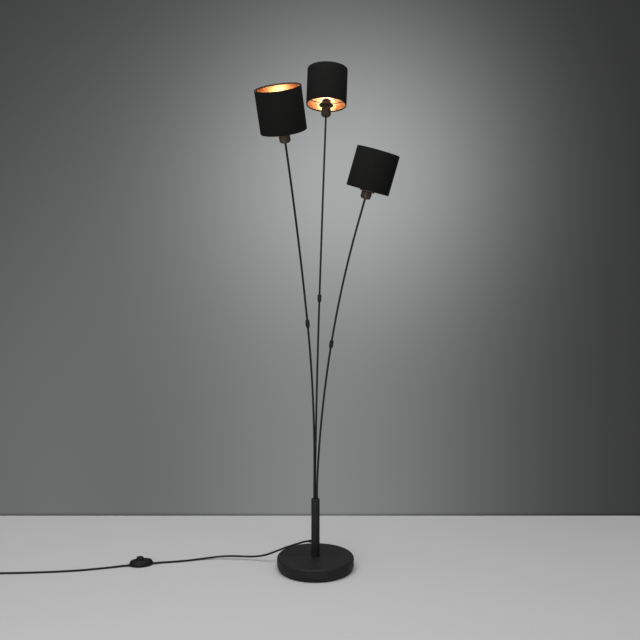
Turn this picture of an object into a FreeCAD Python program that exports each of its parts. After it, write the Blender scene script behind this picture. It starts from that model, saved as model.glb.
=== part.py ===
import FreeCAD
import Part

import math
import os

import Sketcher
from FreeCAD import Placement, Rotation, Vector

"""Tree floor lamp: a round weighted base, a short column and three bendable arms with drum shades.

Millimetres and degrees. The origin is the middle of the base's underside, +Z is up and -Y is the front.
A head's own frame has its origin where the arm enters the lampholder and its Z along the shade's axis.
"""

# ---------------------------------------------------------------- driving dimensions

SIZES = {
    # base
    "base_diameter": 230.0,
    "base_top": 40.0,
    "base_edge_round": 6.0,
    "cover_wall": 1.5,
    "cover_top_thickness": 2.0,
    "cover_lift": 1.0,
    "pad_thickness": 2.0,
    "pad_inset": 4.0,
    "weight_side_gap": 0.3,
    "weight_thickness": 14.0,
    "hub_diameter": 60.0,
    "nut_pocket_diameter": 34.0,
    "nut_pocket_depth": 10.0,
    "rod_diameter": 10.0,
    "rod_bore": 6.0,
    "rod_hole_gap": 0.2,
    "thread_gap": 0.05,
    "rod_bottom": 4.5,
    "nut_flats": 17.0,
    "nut_height": 5.5,
    "nut_flange_diameter": 24.0,
    "nut_flange_thickness": 1.5,
    # column
    "column_diameter": 25.0,
    "column_wall": 1.2,
    "column_height": 177.0,
    "foot_plug_length": 14.0,
    "rod_above_base": 24.0,
    "cap_lip": 5.0,
    "cap_plug_length": 14.0,
    "cap_plug_gap": 0.1,
    "cap_edge_chamfer": 0.8,
    "arm_circle_diameter": 10.0,
    "arm_hole_gap": 0.05,
    "terminal_side": 12.0,
    "terminal_height": 22.0,
    "terminal_hole": 2.6,
    # cord grip
    "grip_height": 42.0,
    "grip_droop": 17.0,
    "grip_azimuth": 128.0,
    "grip_flange_diameter": 12.5,
    "grip_flange_thickness": 2.4,
    "grip_seat_gap": 0.3,
    "grip_neck_diameter": 8.8,
    "grip_hole_gap": 0.15,
    "grip_sleeve_length": 20.0,
    "grip_sleeve_start": 10.0,
    "grip_sleeve_end": 7.2,
    "grip_clip_diameter": 10.4,
    "grip_clip_thickness": 1.4,
    "grip_end_wall": 2.0,
    # arms
    "arm_diameter": 6.0,
    "arm_bore": 4.0,
    "stub_length": 45.0,
    "stub_flange_diameter": 8.0,
    "stub_flange_thickness": 2.0,
    "stub_flange_gap": 0.1,
    "knuckle_gap": 0.15,
    "knuckle_rim": 2.0,
    "bend_height": 75.0,
    "neck_length": 62.0,
    "neck_engagement": 8.0,
    "coupler_diameter": 12.0,
    "coupler_length": 23.0,
    "coupler_tip_diameter": 8.4,
    "coupler_tip_length": 6.0,
    "coupler_gap": 0.12,
    "butt_gap": 0.3,
    # lampholder
    "holder_diameter": 30.5,
    "holder_round": 8.0,
    "holder_cap_height": 14.0,
    "holder_wall": 2.0,
    "holder_boss_diameter": 12.0,
    "holder_boss_height": 9.0,
    "holder_spigot": 3.5,
    "holder_shoulder": 21.0,
    "holder_thread_diameter": 28.0,
    "holder_height": 54.0,
    "holder_floor": 31.0,
    "holder_socket_diameter": 15.0,
    "holder_well_depth": 7.0,
    # shade
    "shade_diameter": 125.0,
    "shade_height": 115.5,
    "fabric_thickness": 0.9,
    "liner_thickness": 0.5,
    "laminate_gap": 0.05,
    "ring_diameter": 45.0,
    "ring_height": 4.0,
    "ring_bevel": 1.5,
    "ring_thread_gap": 0.1,
    "clamp_diameter": 33.0,
    "clamp_height": 4.5,
    "frame_wire": 2.4,
    "frame_plate_diameter": 38.0,
    "frame_plate_thickness": 1.6,
    "frame_bore_gap": 0.3,
    "frame_liner_gap": 0.1,
    # bulb
    "bulb_cap_diameter": 14.0,
    "bulb_cap_flare": 17.0,
    "bulb_seat_gap": 0.2,
    "bulb_cap_height": 27.0,
    "bulb_diameter": 35.0,
    "bulb_belly_height": 28.0,
    "bulb_glass_height": 66.0,
    "bulb_wall": 1.0,
    "bulb_point_diameter": 3.0,
    # the three arms: azimuth of the lean, lean at the root, at the coupler and at the head
    "left_azimuth": -114.5,
    "left_lean_root": -2.0,
    "left_lean_coupler": 12.5,
    "left_lean_head": 17.4,
    "left_lower_length": 487.0,
    "left_upper_length": 460.0,
    "left_hole_azimuth": -135.0,
    "left_shade_seat": 32.3,
    "left_spoke_turn": 90.0,
    "rear_azimuth": 82.5,
    "rear_lean_root": 6.5,
    "rear_lean_coupler": 14.5,
    "rear_lean_head": 16.3,
    "rear_lower_length": 552.0,
    "rear_upper_length": 505.0,
    "rear_hole_azimuth": 105.0,
    "rear_shade_seat": 38.2,
    "rear_spoke_turn": 130.0,
    "right_azimuth": -1.0,
    "right_lean_root": 2.3,
    "right_lean_coupler": 9.0,
    "right_lean_head": 15.7,
    "right_lower_length": 421.0,
    "right_upper_length": 368.0,
    "right_hole_azimuth": -15.0,
    "right_shade_seat": 25.5,
    "right_spoke_turn": 90.0,
    # foot switch
    "switch_length": 74.0,
    "switch_width": 43.0,
    "switch_end_width": 8.0,
    "switch_lower_height": 8.0,
    "switch_upper_height": 11.0,
    "switch_taper": 32.0,
    "switch_cord_height": 4.4,
    "switch_mouth_diameter": 7.2,
    "switch_under_taper": 20.0,
    "button_offset": -3.0,
    "switch_wall": 2.0,
    "button_diameter": 22.0,
    "button_gap": 0.08,
    "button_flange": 1.6,
    "button_flange_thickness": 1.5,
    "button_rise": 8.0,
    "button_stroke": 3.0,
    "button_round": 1.5,
    "mechanism_length": 20.0,
    "mechanism_width": 14.0,
    # cord and plug
    "cord_diameter": 6.0,
    "floor_clearance": 0.1,
    "coil_turns": 5.0,
    "coil_outer_diameter": 80.0,
    "coil_turn_pitch": 6.6,
    "coil_layer_pitch": 6.6,
    "plug_length": 36.0,
    "plug_width": 26.0,
    "plug_height": 14.0,
    "plug_neck_width": 12.0,
    "plug_round": 3.0,
    "plug_pin_diameter": 4.0,
    "plug_pin_length": 19.0,
    "plug_pin_spacing": 19.0,
}

# Control points of the free cord between its ends, from the grip to the foot switch and on to the coil.
CORD_TO_SWITCH = [
    (-27.4, 35.6, 72.8),
    (-36.0, 43.0, 68.6),
    (-50.0, 48.0, 62.2),
    (-70.0, 49.5, 55.6),
    (-96.0, 48.5, 46.8),
    (-124.0, 50.5, 34.6),
    (-151.0, 58.0, 21.5),
    (-180.0, 67.0, 13.3),
    (-214.0, 74.5, 10.2),
    (-252.0, 78.5, 10.8),
    (-291.0, 80.0, 9.0),
    (-327.0, 77.5, 5.2),
    (-359.0, 70.5, 3.5),
    (-388.0, 60.5, 3.3),
    (-416.0, 53.5, 3.15),
    (-446.0, 47.5, 3.3),
    (-470.0, 41.8, 4.0),
]
SWITCH_CENTRE = (-526.9, 26.5)
SWITCH_YAW = 14.0
CORD_TO_COIL = [
    (-581.0, 14.0, 4.0),
    (-604.0, 7.0, 3.2),
    (-640.0, -4.0, 3.3),
    (-688.0, -17.0, 3.15),
    (-740.0, -26.5, 3.3),
    (-795.0, -33.5, 3.15),
    (-850.0, -38.5, 3.3),
    (-902.0, -41.5, 3.15),
    (-948.0, -42.6, 3.3),
    (-978.0, -42.0, 3.05),
]
COIL_START = (-1004.0, -42.0)  # the end of the coil's straight lead
CORD_TAIL = 46.0  # from the coil's last turn to the plug
SPOKES = 3  # in each shade frame

DOC = FreeCAD.newDocument("TreeFloorLamp")
NODES = []
EPS = 1e-9


# ---------------------------------------------------------------- sizes and the sheet


class Size:
    """A length or angle, with the expression that reads it from the sheet."""

    def __init__(self, value, text):
        self.value = float(value)
        self.text = text

    def _with(self, sign, other, value, swap=False):
        text = other.text if isinstance(other, Size) else repr(float(other))
        left, right = (text, self.text) if swap else (self.text, text)
        return Size(value, f"({left} {sign} {right})")

    def __add__(self, other):
        return self._with("+", other, self.value + number(other))

    def __radd__(self, other):
        return self._with("+", other, number(other) + self.value, swap=True)

    def __sub__(self, other):
        return self._with("-", other, self.value - number(other))

    def __rsub__(self, other):
        return self._with("-", other, number(other) - self.value, swap=True)

    def __mul__(self, other):
        return self._with("*", other, self.value * number(other))

    def __truediv__(self, other):
        return self._with("/", other, self.value / number(other))


def number(size):
    """The plain number of a size or of a number."""
    return size.value if isinstance(size, Size) else float(size)


def make_sheet():
    """The sheet of driving dimensions, and a Size for each of its cells."""
    sheet = DOC.addObject("Spreadsheet::Sheet", "Sizes")
    sizes = {}
    for row, (name, value) in enumerate(SIZES.items(), 1):
        sheet.set(f"A{row}", name)
        sheet.set(f"B{row}", str(value))
        sheet.setAlias(f"B{row}", name)
        sizes[name] = Size(value, f"Sizes.{name}")
    DOC.recompute()
    return sizes


S = make_sheet()


def bind(obj, **values):
    """Ties properties of an object to the sheet."""
    for name, size in values.items():
        if isinstance(size, Size):
            setattr(obj, name, size.value)
            obj.setExpression(name, size.text)
        else:
            setattr(obj, name, size)
    return obj


def node(obj, label, placement=None):
    """Names an object as a sub-part and puts it in its place."""
    obj.Label = label
    if placement is not None:
        obj.Placement = placement.multiply(obj.Placement)
    NODES.append(obj)
    return obj


# ---------------------------------------------------------------- building blocks


def at(x=0.0, y=0.0, z=0.0, rotation=None):
    return Placement(Vector(number(x), number(y), number(z)), rotation or Rotation())


def cylinder(radius, height, place=None):
    obj = DOC.addObject("Part::Cylinder", "Rod")
    bind(obj, Radius=radius, Height=height)
    obj.Placement = place or Placement()
    return obj


def cut(base, *tools):
    """Base less the tools."""
    tool = tools[0] if len(tools) == 1 else fuse(*tools)
    obj = DOC.addObject("Part::Cut", "Cut")
    obj.Base, obj.Tool = base, tool
    return obj


def fuse(*shapes):
    obj = DOC.addObject("Part::MultiFuse", "Fuse")
    obj.Shapes = list(shapes)
    return obj


def common(first, second):
    obj = DOC.addObject("Part::MultiCommon", "Common")
    obj.Shapes = [first, second]
    return obj


class Arc:
    """A profile's next point, reached by an arc of a radius: bulge is +1 where it turns left, -1 right."""

    def __init__(self, radius, across, along, bulge):
        self.radius, self.point, self.bulge = radius, (across, along), bulge


def arc_middle(start, end, radius, bulge):
    """The middle of the shorter arc between two points of a profile."""
    (x0, y0), (x1, y1) = start, end
    chord = math.hypot(x1 - x0, y1 - y0)
    rise = radius - math.sqrt(max(radius * radius - chord * chord / 4, 0.0))
    across = bulge * rise / chord
    return ((x0 + x1) / 2 + across * (y1 - y0), (y0 + y1) / 2 - across * (x1 - x0))


def hold_vertex(sketch, geometry, end, across, along):
    """Holds one end of a sketch element at its two distances from the origin."""
    for kind, axis, size in (("DistanceX", -2, across), ("DistanceY", -1, along)):
        if abs(number(size)) < EPS:
            sketch.addConstraint(Sketcher.Constraint("PointOnObject", geometry, end, axis))
            continue
        index = sketch.addConstraint(
            Sketcher.Constraint(kind, -1, 1, geometry, end, number(size))
        )
        if isinstance(size, Size):
            sketch.setExpression(f"Constraints[{index}]", size.text)


def draw(sketch, profile):
    """Draws a closed profile of lines and arcs, each vertex held at its sizes."""
    points = [p.point if isinstance(p, Arc) else p for p in profile]
    flat = [(number(a), number(b)) for a, b in points]
    ends = []
    for index, item in enumerate(profile):
        start, end = flat[index - 1], flat[index]
        first, last = Vector(*start, 0), Vector(*end, 0)
        if isinstance(item, Arc):
            middle = arc_middle(start, end, number(item.radius), item.bulge)
            curve = Part.Arc(first, Vector(*middle, 0), last)
            geometry = sketch.addGeometry(curve, False)
            ends.append((geometry, (1, 2) if item.bulge > 0 else (2, 1)))
            radius = sketch.addConstraint(
                Sketcher.Constraint("Radius", geometry, number(item.radius))
            )
            if isinstance(item.radius, Size):
                sketch.setExpression(f"Constraints[{radius}]", item.radius.text)
        else:
            geometry = sketch.addGeometry(Part.LineSegment(first, last), False)
            ends.append((geometry, (1, 2)))
    for index, (geometry, (_, last)) in enumerate(ends):
        after, (first, _) = ends[(index + 1) % len(ends)]
        sketch.addConstraint(Sketcher.Constraint("Coincident", geometry, last, after, first))
        hold_vertex(sketch, geometry, last, *points[index])


def origin_plane(body, role):
    return next(f for f in body.Origin.OriginFeatures if f.Role == role)


def sketch_on(body, role, profile, height=0.0):
    """A sketch with a closed profile on one of a body's own planes."""
    sketch = body.newObject("Sketcher::SketchObject", "Profile")
    sketch.AttachmentSupport = [(origin_plane(body, role), "")]
    sketch.MapMode = "FlatFace"
    sketch.AttachmentOffset = at(z=height)
    if isinstance(height, Size):
        sketch.setExpression("AttachmentOffset.Base.z", height.text)
    draw(sketch, profile)
    return sketch


def turned(profile):
    """A body turned about Z from a closed profile of (radius, height) points."""
    body = DOC.addObject("PartDesign::Body", "Body")
    sketch = sketch_on(body, "XZ_Plane", profile)
    turn = body.newObject("PartDesign::Revolution", "Turn")
    turn.Profile = sketch
    turn.ReferenceAxis = (sketch, ["V_Axis"])
    turn.Angle = 360.0
    body.Tip = turn
    return body


def padded(profile, height, taper=0.0, lift=0.0, down=False):
    """A body raised (or sunk) along Z from a closed profile of (x, y) points."""
    body = DOC.addObject("PartDesign::Body", "Body")
    sketch = sketch_on(body, "XY_Plane", profile, lift)
    pad = body.newObject("PartDesign::Pad", "Pad")
    pad.Profile = sketch
    bind(pad, Length=height)
    if number(taper):
        pad.TaperAngle = -number(taper)
    pad.Reversed = down
    body.Tip = pad
    return body


def rounded(base, radius, chosen):
    """Base with the edges that chosen(edge) picks rounded."""
    DOC.recompute()
    obj = DOC.addObject("Part::Fillet", "Round")
    obj.Base = base
    edges = [i for i, edge in enumerate(base.Shape.Edges, 1) if chosen(edge)]
    obj.Edges = [(i, number(radius), number(radius)) for i in edges]
    return obj


# ---------------------------------------------------------------- base and column

BASE_RADIUS = S["base_diameter"] / 2
COLUMN_RADIUS = S["column_diameter"] / 2
COLUMN_INSIDE = COLUMN_RADIUS - S["column_wall"]
COLUMN_TOP = S["base_top"] + S["column_height"]
TUBE_TOP = COLUMN_TOP - S["cap_lip"]
CAP_BOTTOM = TUBE_TOP - S["cap_plug_length"]
FOOT_PLUG_TOP = S["base_top"] + S["foot_plug_length"]
ROD_HOLE = S["rod_diameter"] / 2 + S["rod_hole_gap"]
ROD_THREAD = S["rod_diameter"] / 2 + S["thread_gap"]
COVER_INSIDE = BASE_RADIUS - S["cover_wall"]
COVER_CEILING = S["base_top"] - S["cover_top_thickness"]
WEIGHT_RADIUS = COVER_INSIDE - S["weight_side_gap"]
WEIGHT_TOP = S["pad_thickness"] + S["weight_thickness"]
NUT_CEILING = S["pad_thickness"] + S["nut_pocket_depth"]
GRIP_Z = S["base_top"] + S["grip_height"]


def make_base():
    round_inside = S["base_edge_round"] - S["cover_wall"]
    cover = turned(
        [
            (ROD_HOLE, COVER_CEILING),
            (COVER_INSIDE - round_inside, COVER_CEILING),
            Arc(round_inside, COVER_INSIDE, COVER_CEILING - round_inside, -1),
            (COVER_INSIDE, S["cover_lift"]),
            (BASE_RADIUS, S["cover_lift"]),
            (BASE_RADIUS, S["base_top"] - S["base_edge_round"]),
            Arc(S["base_edge_round"], BASE_RADIUS - S["base_edge_round"], S["base_top"], 1),
            (ROD_HOLE, S["base_top"]),
        ]
    )
    node(cover, "base_cover")
    hub = S["hub_diameter"] / 2
    pocket = S["nut_pocket_diameter"] / 2
    weight = turned(
        [
            (ROD_HOLE, NUT_CEILING),
            (pocket, NUT_CEILING),
            (pocket, S["pad_thickness"]),
            (WEIGHT_RADIUS, S["pad_thickness"]),
            (WEIGHT_RADIUS, WEIGHT_TOP),
            (hub, WEIGHT_TOP),
            (hub, COVER_CEILING),
            (ROD_HOLE, COVER_CEILING),
        ]
    )
    node(weight, "base_weight")
    pad_radius = WEIGHT_RADIUS - S["pad_inset"]
    pad = turned(
        [
            (0, 0),
            (pad_radius, 0),
            (pad_radius, S["pad_thickness"]),
            (0, S["pad_thickness"]),
        ]
    )
    node(pad, "base_pad")


def make_rod_and_nut():
    rod_top = S["base_top"] + S["rod_above_base"] - S["foot_plug_length"]
    radius = S["rod_diameter"] / 2
    rod = turned(
        [
            (S["rod_bore"] / 2, S["rod_bottom"]),
            (radius, S["rod_bottom"]),
            (radius, rod_top),
            (S["rod_bore"] / 2, rod_top),
        ]
    )
    node(rod, "tie_rod")
    across = S["nut_flats"] / 2
    flange_bottom = NUT_CEILING - S["nut_flange_thickness"]
    nut_bottom = flange_bottom - S["nut_height"]
    hexagon = DOC.addObject("Part::Prism", "Hexagon")
    bind(hexagon, Circumradius=across * (2 / math.sqrt(3)), Height=S["nut_height"])
    hexagon.Polygon = 6
    hexagon.Placement = at(z=nut_bottom)
    flange = cylinder(
        S["nut_flange_diameter"] / 2, S["nut_flange_thickness"], at(z=flange_bottom)
    )
    bore = cylinder(ROD_THREAD, S["nut_pocket_depth"], at(z=S["pad_thickness"]))
    node(cut(fuse(hexagon, flange), bore), "base_nut")


def make_column():
    tube = turned(
        [
            (ROD_THREAD, S["base_top"]),
            (COLUMN_RADIUS, S["base_top"]),
            (COLUMN_RADIUS, TUBE_TOP),
            (COLUMN_INSIDE, TUBE_TOP),
            (COLUMN_INSIDE, FOOT_PLUG_TOP),
            (ROD_THREAD, FOOT_PLUG_TOP),
        ]
    )
    hole = cylinder(
        S["grip_neck_diameter"] / 2 + S["grip_hole_gap"], COLUMN_RADIUS * 2, grip_place()
    )
    node(cut(tube, hole), "column_tube")
    plug_radius = COLUMN_INSIDE - S["cap_plug_gap"]
    chamfer = S["cap_edge_chamfer"]
    cap = turned(
        [
            (0, CAP_BOTTOM),
            (plug_radius, CAP_BOTTOM),
            (plug_radius, TUBE_TOP),
            (COLUMN_RADIUS, TUBE_TOP),
            (COLUMN_RADIUS, COLUMN_TOP - chamfer),
            (COLUMN_RADIUS - chamfer, COLUMN_TOP),
            (0, COLUMN_TOP),
        ]
    )
    hole_radius = S["arm_diameter"] / 2 + S["arm_hole_gap"]
    holes = [
        cylinder(
            hole_radius,
            (S["cap_lip"] + S["cap_plug_length"]) * 2,
            arm.root_place(CAP_BOTTOM.value - number(S["cap_lip"])),
        )
        for arm in ARMS
    ]
    node(cut(cap, *holes), "column_cap")


def make_terminal_block():
    side, height = S["terminal_side"], S["terminal_height"]
    block = DOC.addObject("Part::Box", "Block")
    bind(block, Length=side, Width=side, Height=height)
    block.Placement = at(side.value / -2, side.value / -2, FOOT_PLUG_TOP)
    ways = [
        cylinder(S["terminal_hole"] / 2, height * 2, at(x, y, FOOT_PLUG_TOP.value - 1))
        for x in (side.value / -4, side.value / 4)
        for y in (side.value / -4, side.value / 4)
    ]
    node(cut(block, *ways), "terminal_block")


def grip_place():
    """The cord grip's frame: Z points out of the column where the cord leaves."""
    turn = Rotation(Vector(0, 0, 1), number(S["grip_azimuth"]))
    return at(z=GRIP_Z, rotation=turn.multiply(Rotation(Vector(0, 1, 0), 90)))


def grip_mouth():
    """The frame where the drooping sleeve leaves the grip's flange: Z points along the cord."""
    seat = COLUMN_RADIUS + S["grip_seat_gap"] + S["grip_flange_thickness"]
    droop = Rotation(Vector(0, 1, 0), number(S["grip_droop"]))
    return grip_place().multiply(at(z=seat, rotation=droop))


def make_grip():
    clip, neck = S["grip_clip_diameter"] / 2, S["grip_neck_diameter"] / 2
    flange = S["grip_flange_diameter"] / 2
    # the clip's corners stay clear of the tube's curved inside
    clip_top = math.sqrt(COLUMN_INSIDE.value**2 - clip.value**2) - number(S["grip_seat_gap"])
    clip_bottom = clip_top - number(S["grip_clip_thickness"])
    seat = COLUMN_RADIUS + S["grip_seat_gap"]
    body = turned(
        [
            (0, clip_bottom),
            (clip, clip_bottom),
            (clip, clip_top),
            (neck, clip_top),
            (neck, seat),
            (flange, seat),
            (flange, seat + S["grip_flange_thickness"]),
            (0, seat + S["grip_flange_thickness"]),
        ]
    )
    body.Placement = grip_place()
    root, length = S["grip_flange_thickness"] / 2, S["grip_sleeve_length"]
    sleeve = DOC.addObject("Part::Cone", "Sleeve")
    start, end = S["grip_sleeve_start"] / 2, S["grip_sleeve_end"] / 2
    bind(sleeve, Radius1=start, Radius2=end, Height=length + root)
    sleeve.Placement = grip_mouth().multiply(at(z=root.value * -1))
    bore = S["cord_diameter"] / 2
    inner = cylinder(bore, seat, grip_place())
    outer = cylinder(bore, length - S["grip_end_wall"] + root)
    outer.Placement = grip_mouth().multiply(at(z=root.value * -1))
    node(cut(fuse(body, sleeve), inner, outer), "cord_grip")


# ---------------------------------------------------------------- arms


class ArmLine:
    """The centre line of one bendable arm: a plumb stub, two arcs that meet in the coupler and a neck."""

    def __init__(self, side):
        self.side = side
        self.azimuth = S[f"{side}_azimuth"].value
        self.leans = [S[f"{side}_lean_{where}"] for where in ("root", "coupler", "head")]
        self.lower = S[f"{side}_lower_length"]
        self.upper = S[f"{side}_upper_length"]
        self.seat = S[f"{side}_shade_seat"]
        self.spoke_turn = S[f"{side}_spoke_turn"]
        self.hole_azimuth = math.radians(S[f"{side}_hole_azimuth"].value)

    def root_place(self, height):
        """The stub's frame: Z up, X along the lean."""
        across = number(S["arm_circle_diameter"]) / 2
        x, y = across * math.cos(self.hole_azimuth), across * math.sin(self.hole_azimuth)
        return at(x, y, height, Rotation(Vector(0, 0, 1), self.azimuth))

    def place(self, lower=0.0, upper=0.0):
        """The frame at a distance along the lower arc, and then along the upper: Z is the arm's own line."""
        root, middle, head = (number(lean) for lean in self.leans)
        frame = self.root_place(COLUMN_TOP.value + number(S["stub_length"]))
        frame = frame.multiply(at(rotation=Rotation(Vector(0, 1, 0), root)))
        frame = frame.multiply(along_arc(lower, number(self.lower), middle - root))
        return frame.multiply(along_arc(upper, number(self.upper), head - middle))

    def head_place(self):
        top = self.place(number(self.lower), number(self.upper))
        return top.multiply(at(z=S["neck_length"]))


def along_arc(distance, length, bend):
    """The frame at a distance along an arc that bends from Z towards X by bend degrees in its length."""
    radius = length / math.radians(bend)
    turn = distance / radius
    move = Vector(radius * (1 - math.cos(turn)), 0, radius * math.sin(turn))
    return Placement(move, Rotation(Vector(0, 1, 0), math.degrees(turn)))


def bent_rod(tube_radius, bend_radius, angle):
    """A rod from the origin along Z that bends towards X."""
    rod = DOC.addObject("Part::Torus", "BentRod")
    bind(rod, Radius1=bend_radius, Radius2=tube_radius, Angle3=angle)
    to_start = Rotation(Vector(-1, 0, 0), Vector(0, 0, 1), Vector(0, 1, 0), "XYZ")
    rod.Placement = Placement(Vector(number(bend_radius), 0, 0), to_start)
    return rod


def cross_rod(radius, place=None):
    """A rod along the hinge line, wider than the arm."""
    width = S["arm_diameter"] * 2
    lay = Rotation(Vector(1, 0, 0), 90)
    rod = cylinder(radius, width)
    rod.Placement = (place or Placement()).multiply(at(y=width / 2, rotation=lay))
    return rod


def arm_length(label, frame, length, bend, arc_length, knuckle, cup, start=0.0):
    """One length of a bendable arm.

    bend is the turn of the whole arc of arc_length, which this length follows. A knuckle is the round lower
    end that turns in a cup, and a cup is cut into the upper end, which is straight. start trims the lower end.
    """
    bend_radius = arc_length / bend * (180 / math.pi)
    trim = S["knuckle_rim"] if cup else S["butt_gap"] / 2
    straight = S["arm_diameter"] if cup else S["butt_gap"] * 0
    curved = length - start - trim - straight
    angle = curved / bend_radius * (180 / math.pi)
    outer_radius, bore_radius = S["arm_diameter"] / 2, S["arm_bore"] / 2
    outer = bent_rod(outer_radius, bend_radius, angle)
    bore = bent_rod(bore_radius, bend_radius, angle)
    if knuckle:
        below = at(z=outer_radius.value * -1)
        end = common(cylinder(outer_radius, outer_radius, below), cross_rod(outer_radius))
        outer = fuse(outer, end)
        bore = fuse(bore, cylinder(bore_radius, outer_radius, below))
    tools = [bore]
    if cup:
        top = along_arc(number(length) - number(start), number(arc_length), number(bend))
        tip = along_arc(number(curved), number(arc_length), number(bend))
        outer = fuse(outer, cylinder(outer_radius, straight, tip))
        tools[0] = fuse(bore, cylinder(bore_radius, straight, tip))
        tools.append(cross_rod(outer_radius + S["knuckle_gap"], top))
    node(cut(outer, *tools), label, frame)


def make_arm(arm):
    radius, bore = S["arm_diameter"] / 2, S["arm_bore"] / 2
    root_lean, middle_lean, head_lean = arm.leans
    lower_bend, upper_bend = middle_lean - root_lean, head_lean - middle_lean
    # root: a plumb tube through the cap, with a flange under it and a cup at the top
    flange_top = CAP_BOTTOM - S["stub_flange_gap"]
    flange_bottom = flange_top - S["stub_flange_thickness"]
    pivot = COLUMN_TOP + S["stub_length"]
    flange = S["stub_flange_diameter"] / 2
    stub = turned(
        [
            (bore, 0),
            (flange, 0),
            (flange, S["stub_flange_thickness"]),
            (radius, S["stub_flange_thickness"]),
            (radius, pivot - flange_bottom - S["knuckle_rim"]),
            (bore, pivot - flange_bottom - S["knuckle_rim"]),
        ]
    )
    cup = cross_rod(radius + S["knuckle_gap"], at(z=pivot - flange_bottom))
    node(cut(stub, cup), f"{arm.side}_arm_root", arm.root_place(flange_bottom.value))

    arm_length(
        f"{arm.side}_arm_lower", arm.place(), arm.lower, lower_bend, arm.lower, True, False
    )
    half_gap = S["butt_gap"] / 2
    arm_length(
        f"{arm.side}_arm_middle",
        arm.place(arm.lower.value, half_gap.value),
        S["bend_height"],
        upper_bend,
        arm.upper,
        False,
        True,
        half_gap,
    )
    arm_length(
        f"{arm.side}_arm_upper",
        arm.place(arm.lower.value, number(S["bend_height"])),
        arm.upper - S["bend_height"],
        upper_bend,
        arm.upper,
        True,
        True,
    )
    # neck: a straight length from the last bend into the lampholder
    below = at(z=radius.value * -1)
    knuckle = common(cylinder(radius, radius, below), cross_rod(radius))
    reach = S["neck_length"] + S["neck_engagement"]
    neck = fuse(cylinder(radius, reach), knuckle)
    hollow = cylinder(bore, reach + radius, below)
    node(
        cut(neck, hollow), f"{arm.side}_arm_neck", arm.place(arm.lower.value, arm.upper.value)
    )


def make_coupler(arm):
    bore = S["arm_diameter"] / 2 + S["coupler_gap"]
    outer, tip = S["coupler_diameter"] / 2, S["coupler_tip_diameter"] / 2
    length = S["coupler_length"]
    sleeve = turned(
        [
            (bore, 0),
            (tip, 0),
            (outer, S["coupler_tip_length"]),
            (outer, length - S["coupler_tip_length"] / 3),
            (tip, length),
            (bore, length),
        ]
    )
    middle = arm.place(arm.lower.value)
    node(sleeve, f"{arm.side}_coupler", middle.multiply(at(z=length.value / -2)))


# ---------------------------------------------------------------- lampholder, bulb and shade


def make_holder(arm):
    outer, round_radius = S["holder_diameter"] / 2, S["holder_round"]
    neck = S["arm_diameter"] / 2 + S["thread_gap"]
    boss = S["holder_boss_diameter"] / 2
    inside = outer - S["holder_wall"]
    top, boss_top = S["holder_cap_height"], S["holder_boss_height"]
    place = arm.head_place()
    cap = turned(
        [
            (neck, 0),
            (outer - round_radius, 0),
            Arc(round_radius, outer, round_radius, 1),
            (outer, top),
            (inside, top),
            (inside, round_radius),
            Arc(
                round_radius - S["holder_wall"],
                outer - round_radius,
                S["holder_wall"],
                -1,
            ),
            (boss, S["holder_wall"]),
            (boss, boss_top),
            (neck, boss_top),
        ]
    )
    node(cap, f"{arm.side}_holder_cap", place)
    spigot = inside - S["thread_gap"] * 5
    spigot_bottom = top - S["holder_spigot"]
    thread, socket = S["holder_thread_diameter"] / 2, S["holder_socket_diameter"] / 2
    well = spigot - S["holder_wall"]
    well_top = S["holder_floor"] - S["holder_well_depth"]
    edge = S["holder_wall"] / 2
    body = turned(
        [
            (0, well_top),
            (well, well_top),
            (well, spigot_bottom),
            (spigot, spigot_bottom),
            (spigot, top),
            (outer, top),
            (outer, S["holder_shoulder"]),
            (thread, S["holder_shoulder"]),
            (thread, S["holder_height"] - edge),
            (thread - edge, S["holder_height"]),
            (socket, S["holder_height"]),
            (socket, S["holder_floor"]),
            (0, S["holder_floor"]),
        ]
    )
    node(body, f"{arm.side}_holder_body", place)


def make_bulb(arm):
    place = arm.head_place()
    radius, flare = S["bulb_cap_diameter"] / 2, S["bulb_cap_flare"] / 2
    bottom = S["holder_floor"] + S["bulb_seat_gap"]
    glass_bottom = bottom + S["bulb_cap_height"]
    cone = radius / 2
    cap = turned(
        [
            (0, bottom),
            (cone / 2, bottom),
            (radius, bottom + cone),
            (radius, S["holder_height"] + S["bulb_seat_gap"]),
            (flare, glass_bottom),
            (0, glass_bottom),
        ]
    )
    node(cap, f"{arm.side}_bulb_cap", place)
    wall = S["bulb_wall"]
    belly = S["bulb_diameter"] / 2
    belly_z = glass_bottom + S["bulb_belly_height"]
    tip = glass_bottom + S["bulb_glass_height"]
    low = S["bulb_belly_height"]
    high = S["bulb_glass_height"] - S["bulb_belly_height"]
    # the outline is upright at the belly, so each arc's centre is level with it
    low_radius = bulge_radius(low, belly - flare)
    point = S["bulb_point_diameter"] / 2
    high_radius = bulge_radius(high, belly - point)
    inner_low = bulge_radius(low, belly - flare)
    inner_high = bulge_radius(high - wall, belly - wall / 2 - point)
    glass = turned(
        [
            (flare, glass_bottom),
            Arc(low_radius, belly, belly_z, 1),
            Arc(high_radius, point, tip, 1),
            (0, tip),
            (0, tip - wall),
            (point - wall / 2, tip - wall),
            Arc(inner_high, belly - wall, belly_z, -1),
            Arc(inner_low, flare - wall, glass_bottom, -1),
        ]
    )
    node(glass, f"{arm.side}_bulb_glass", place)


def bulge_radius(height, side):
    """The radius of an arc that starts upright and moves by side in its height."""
    return (height * height + side * side) / (side * 2)


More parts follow.
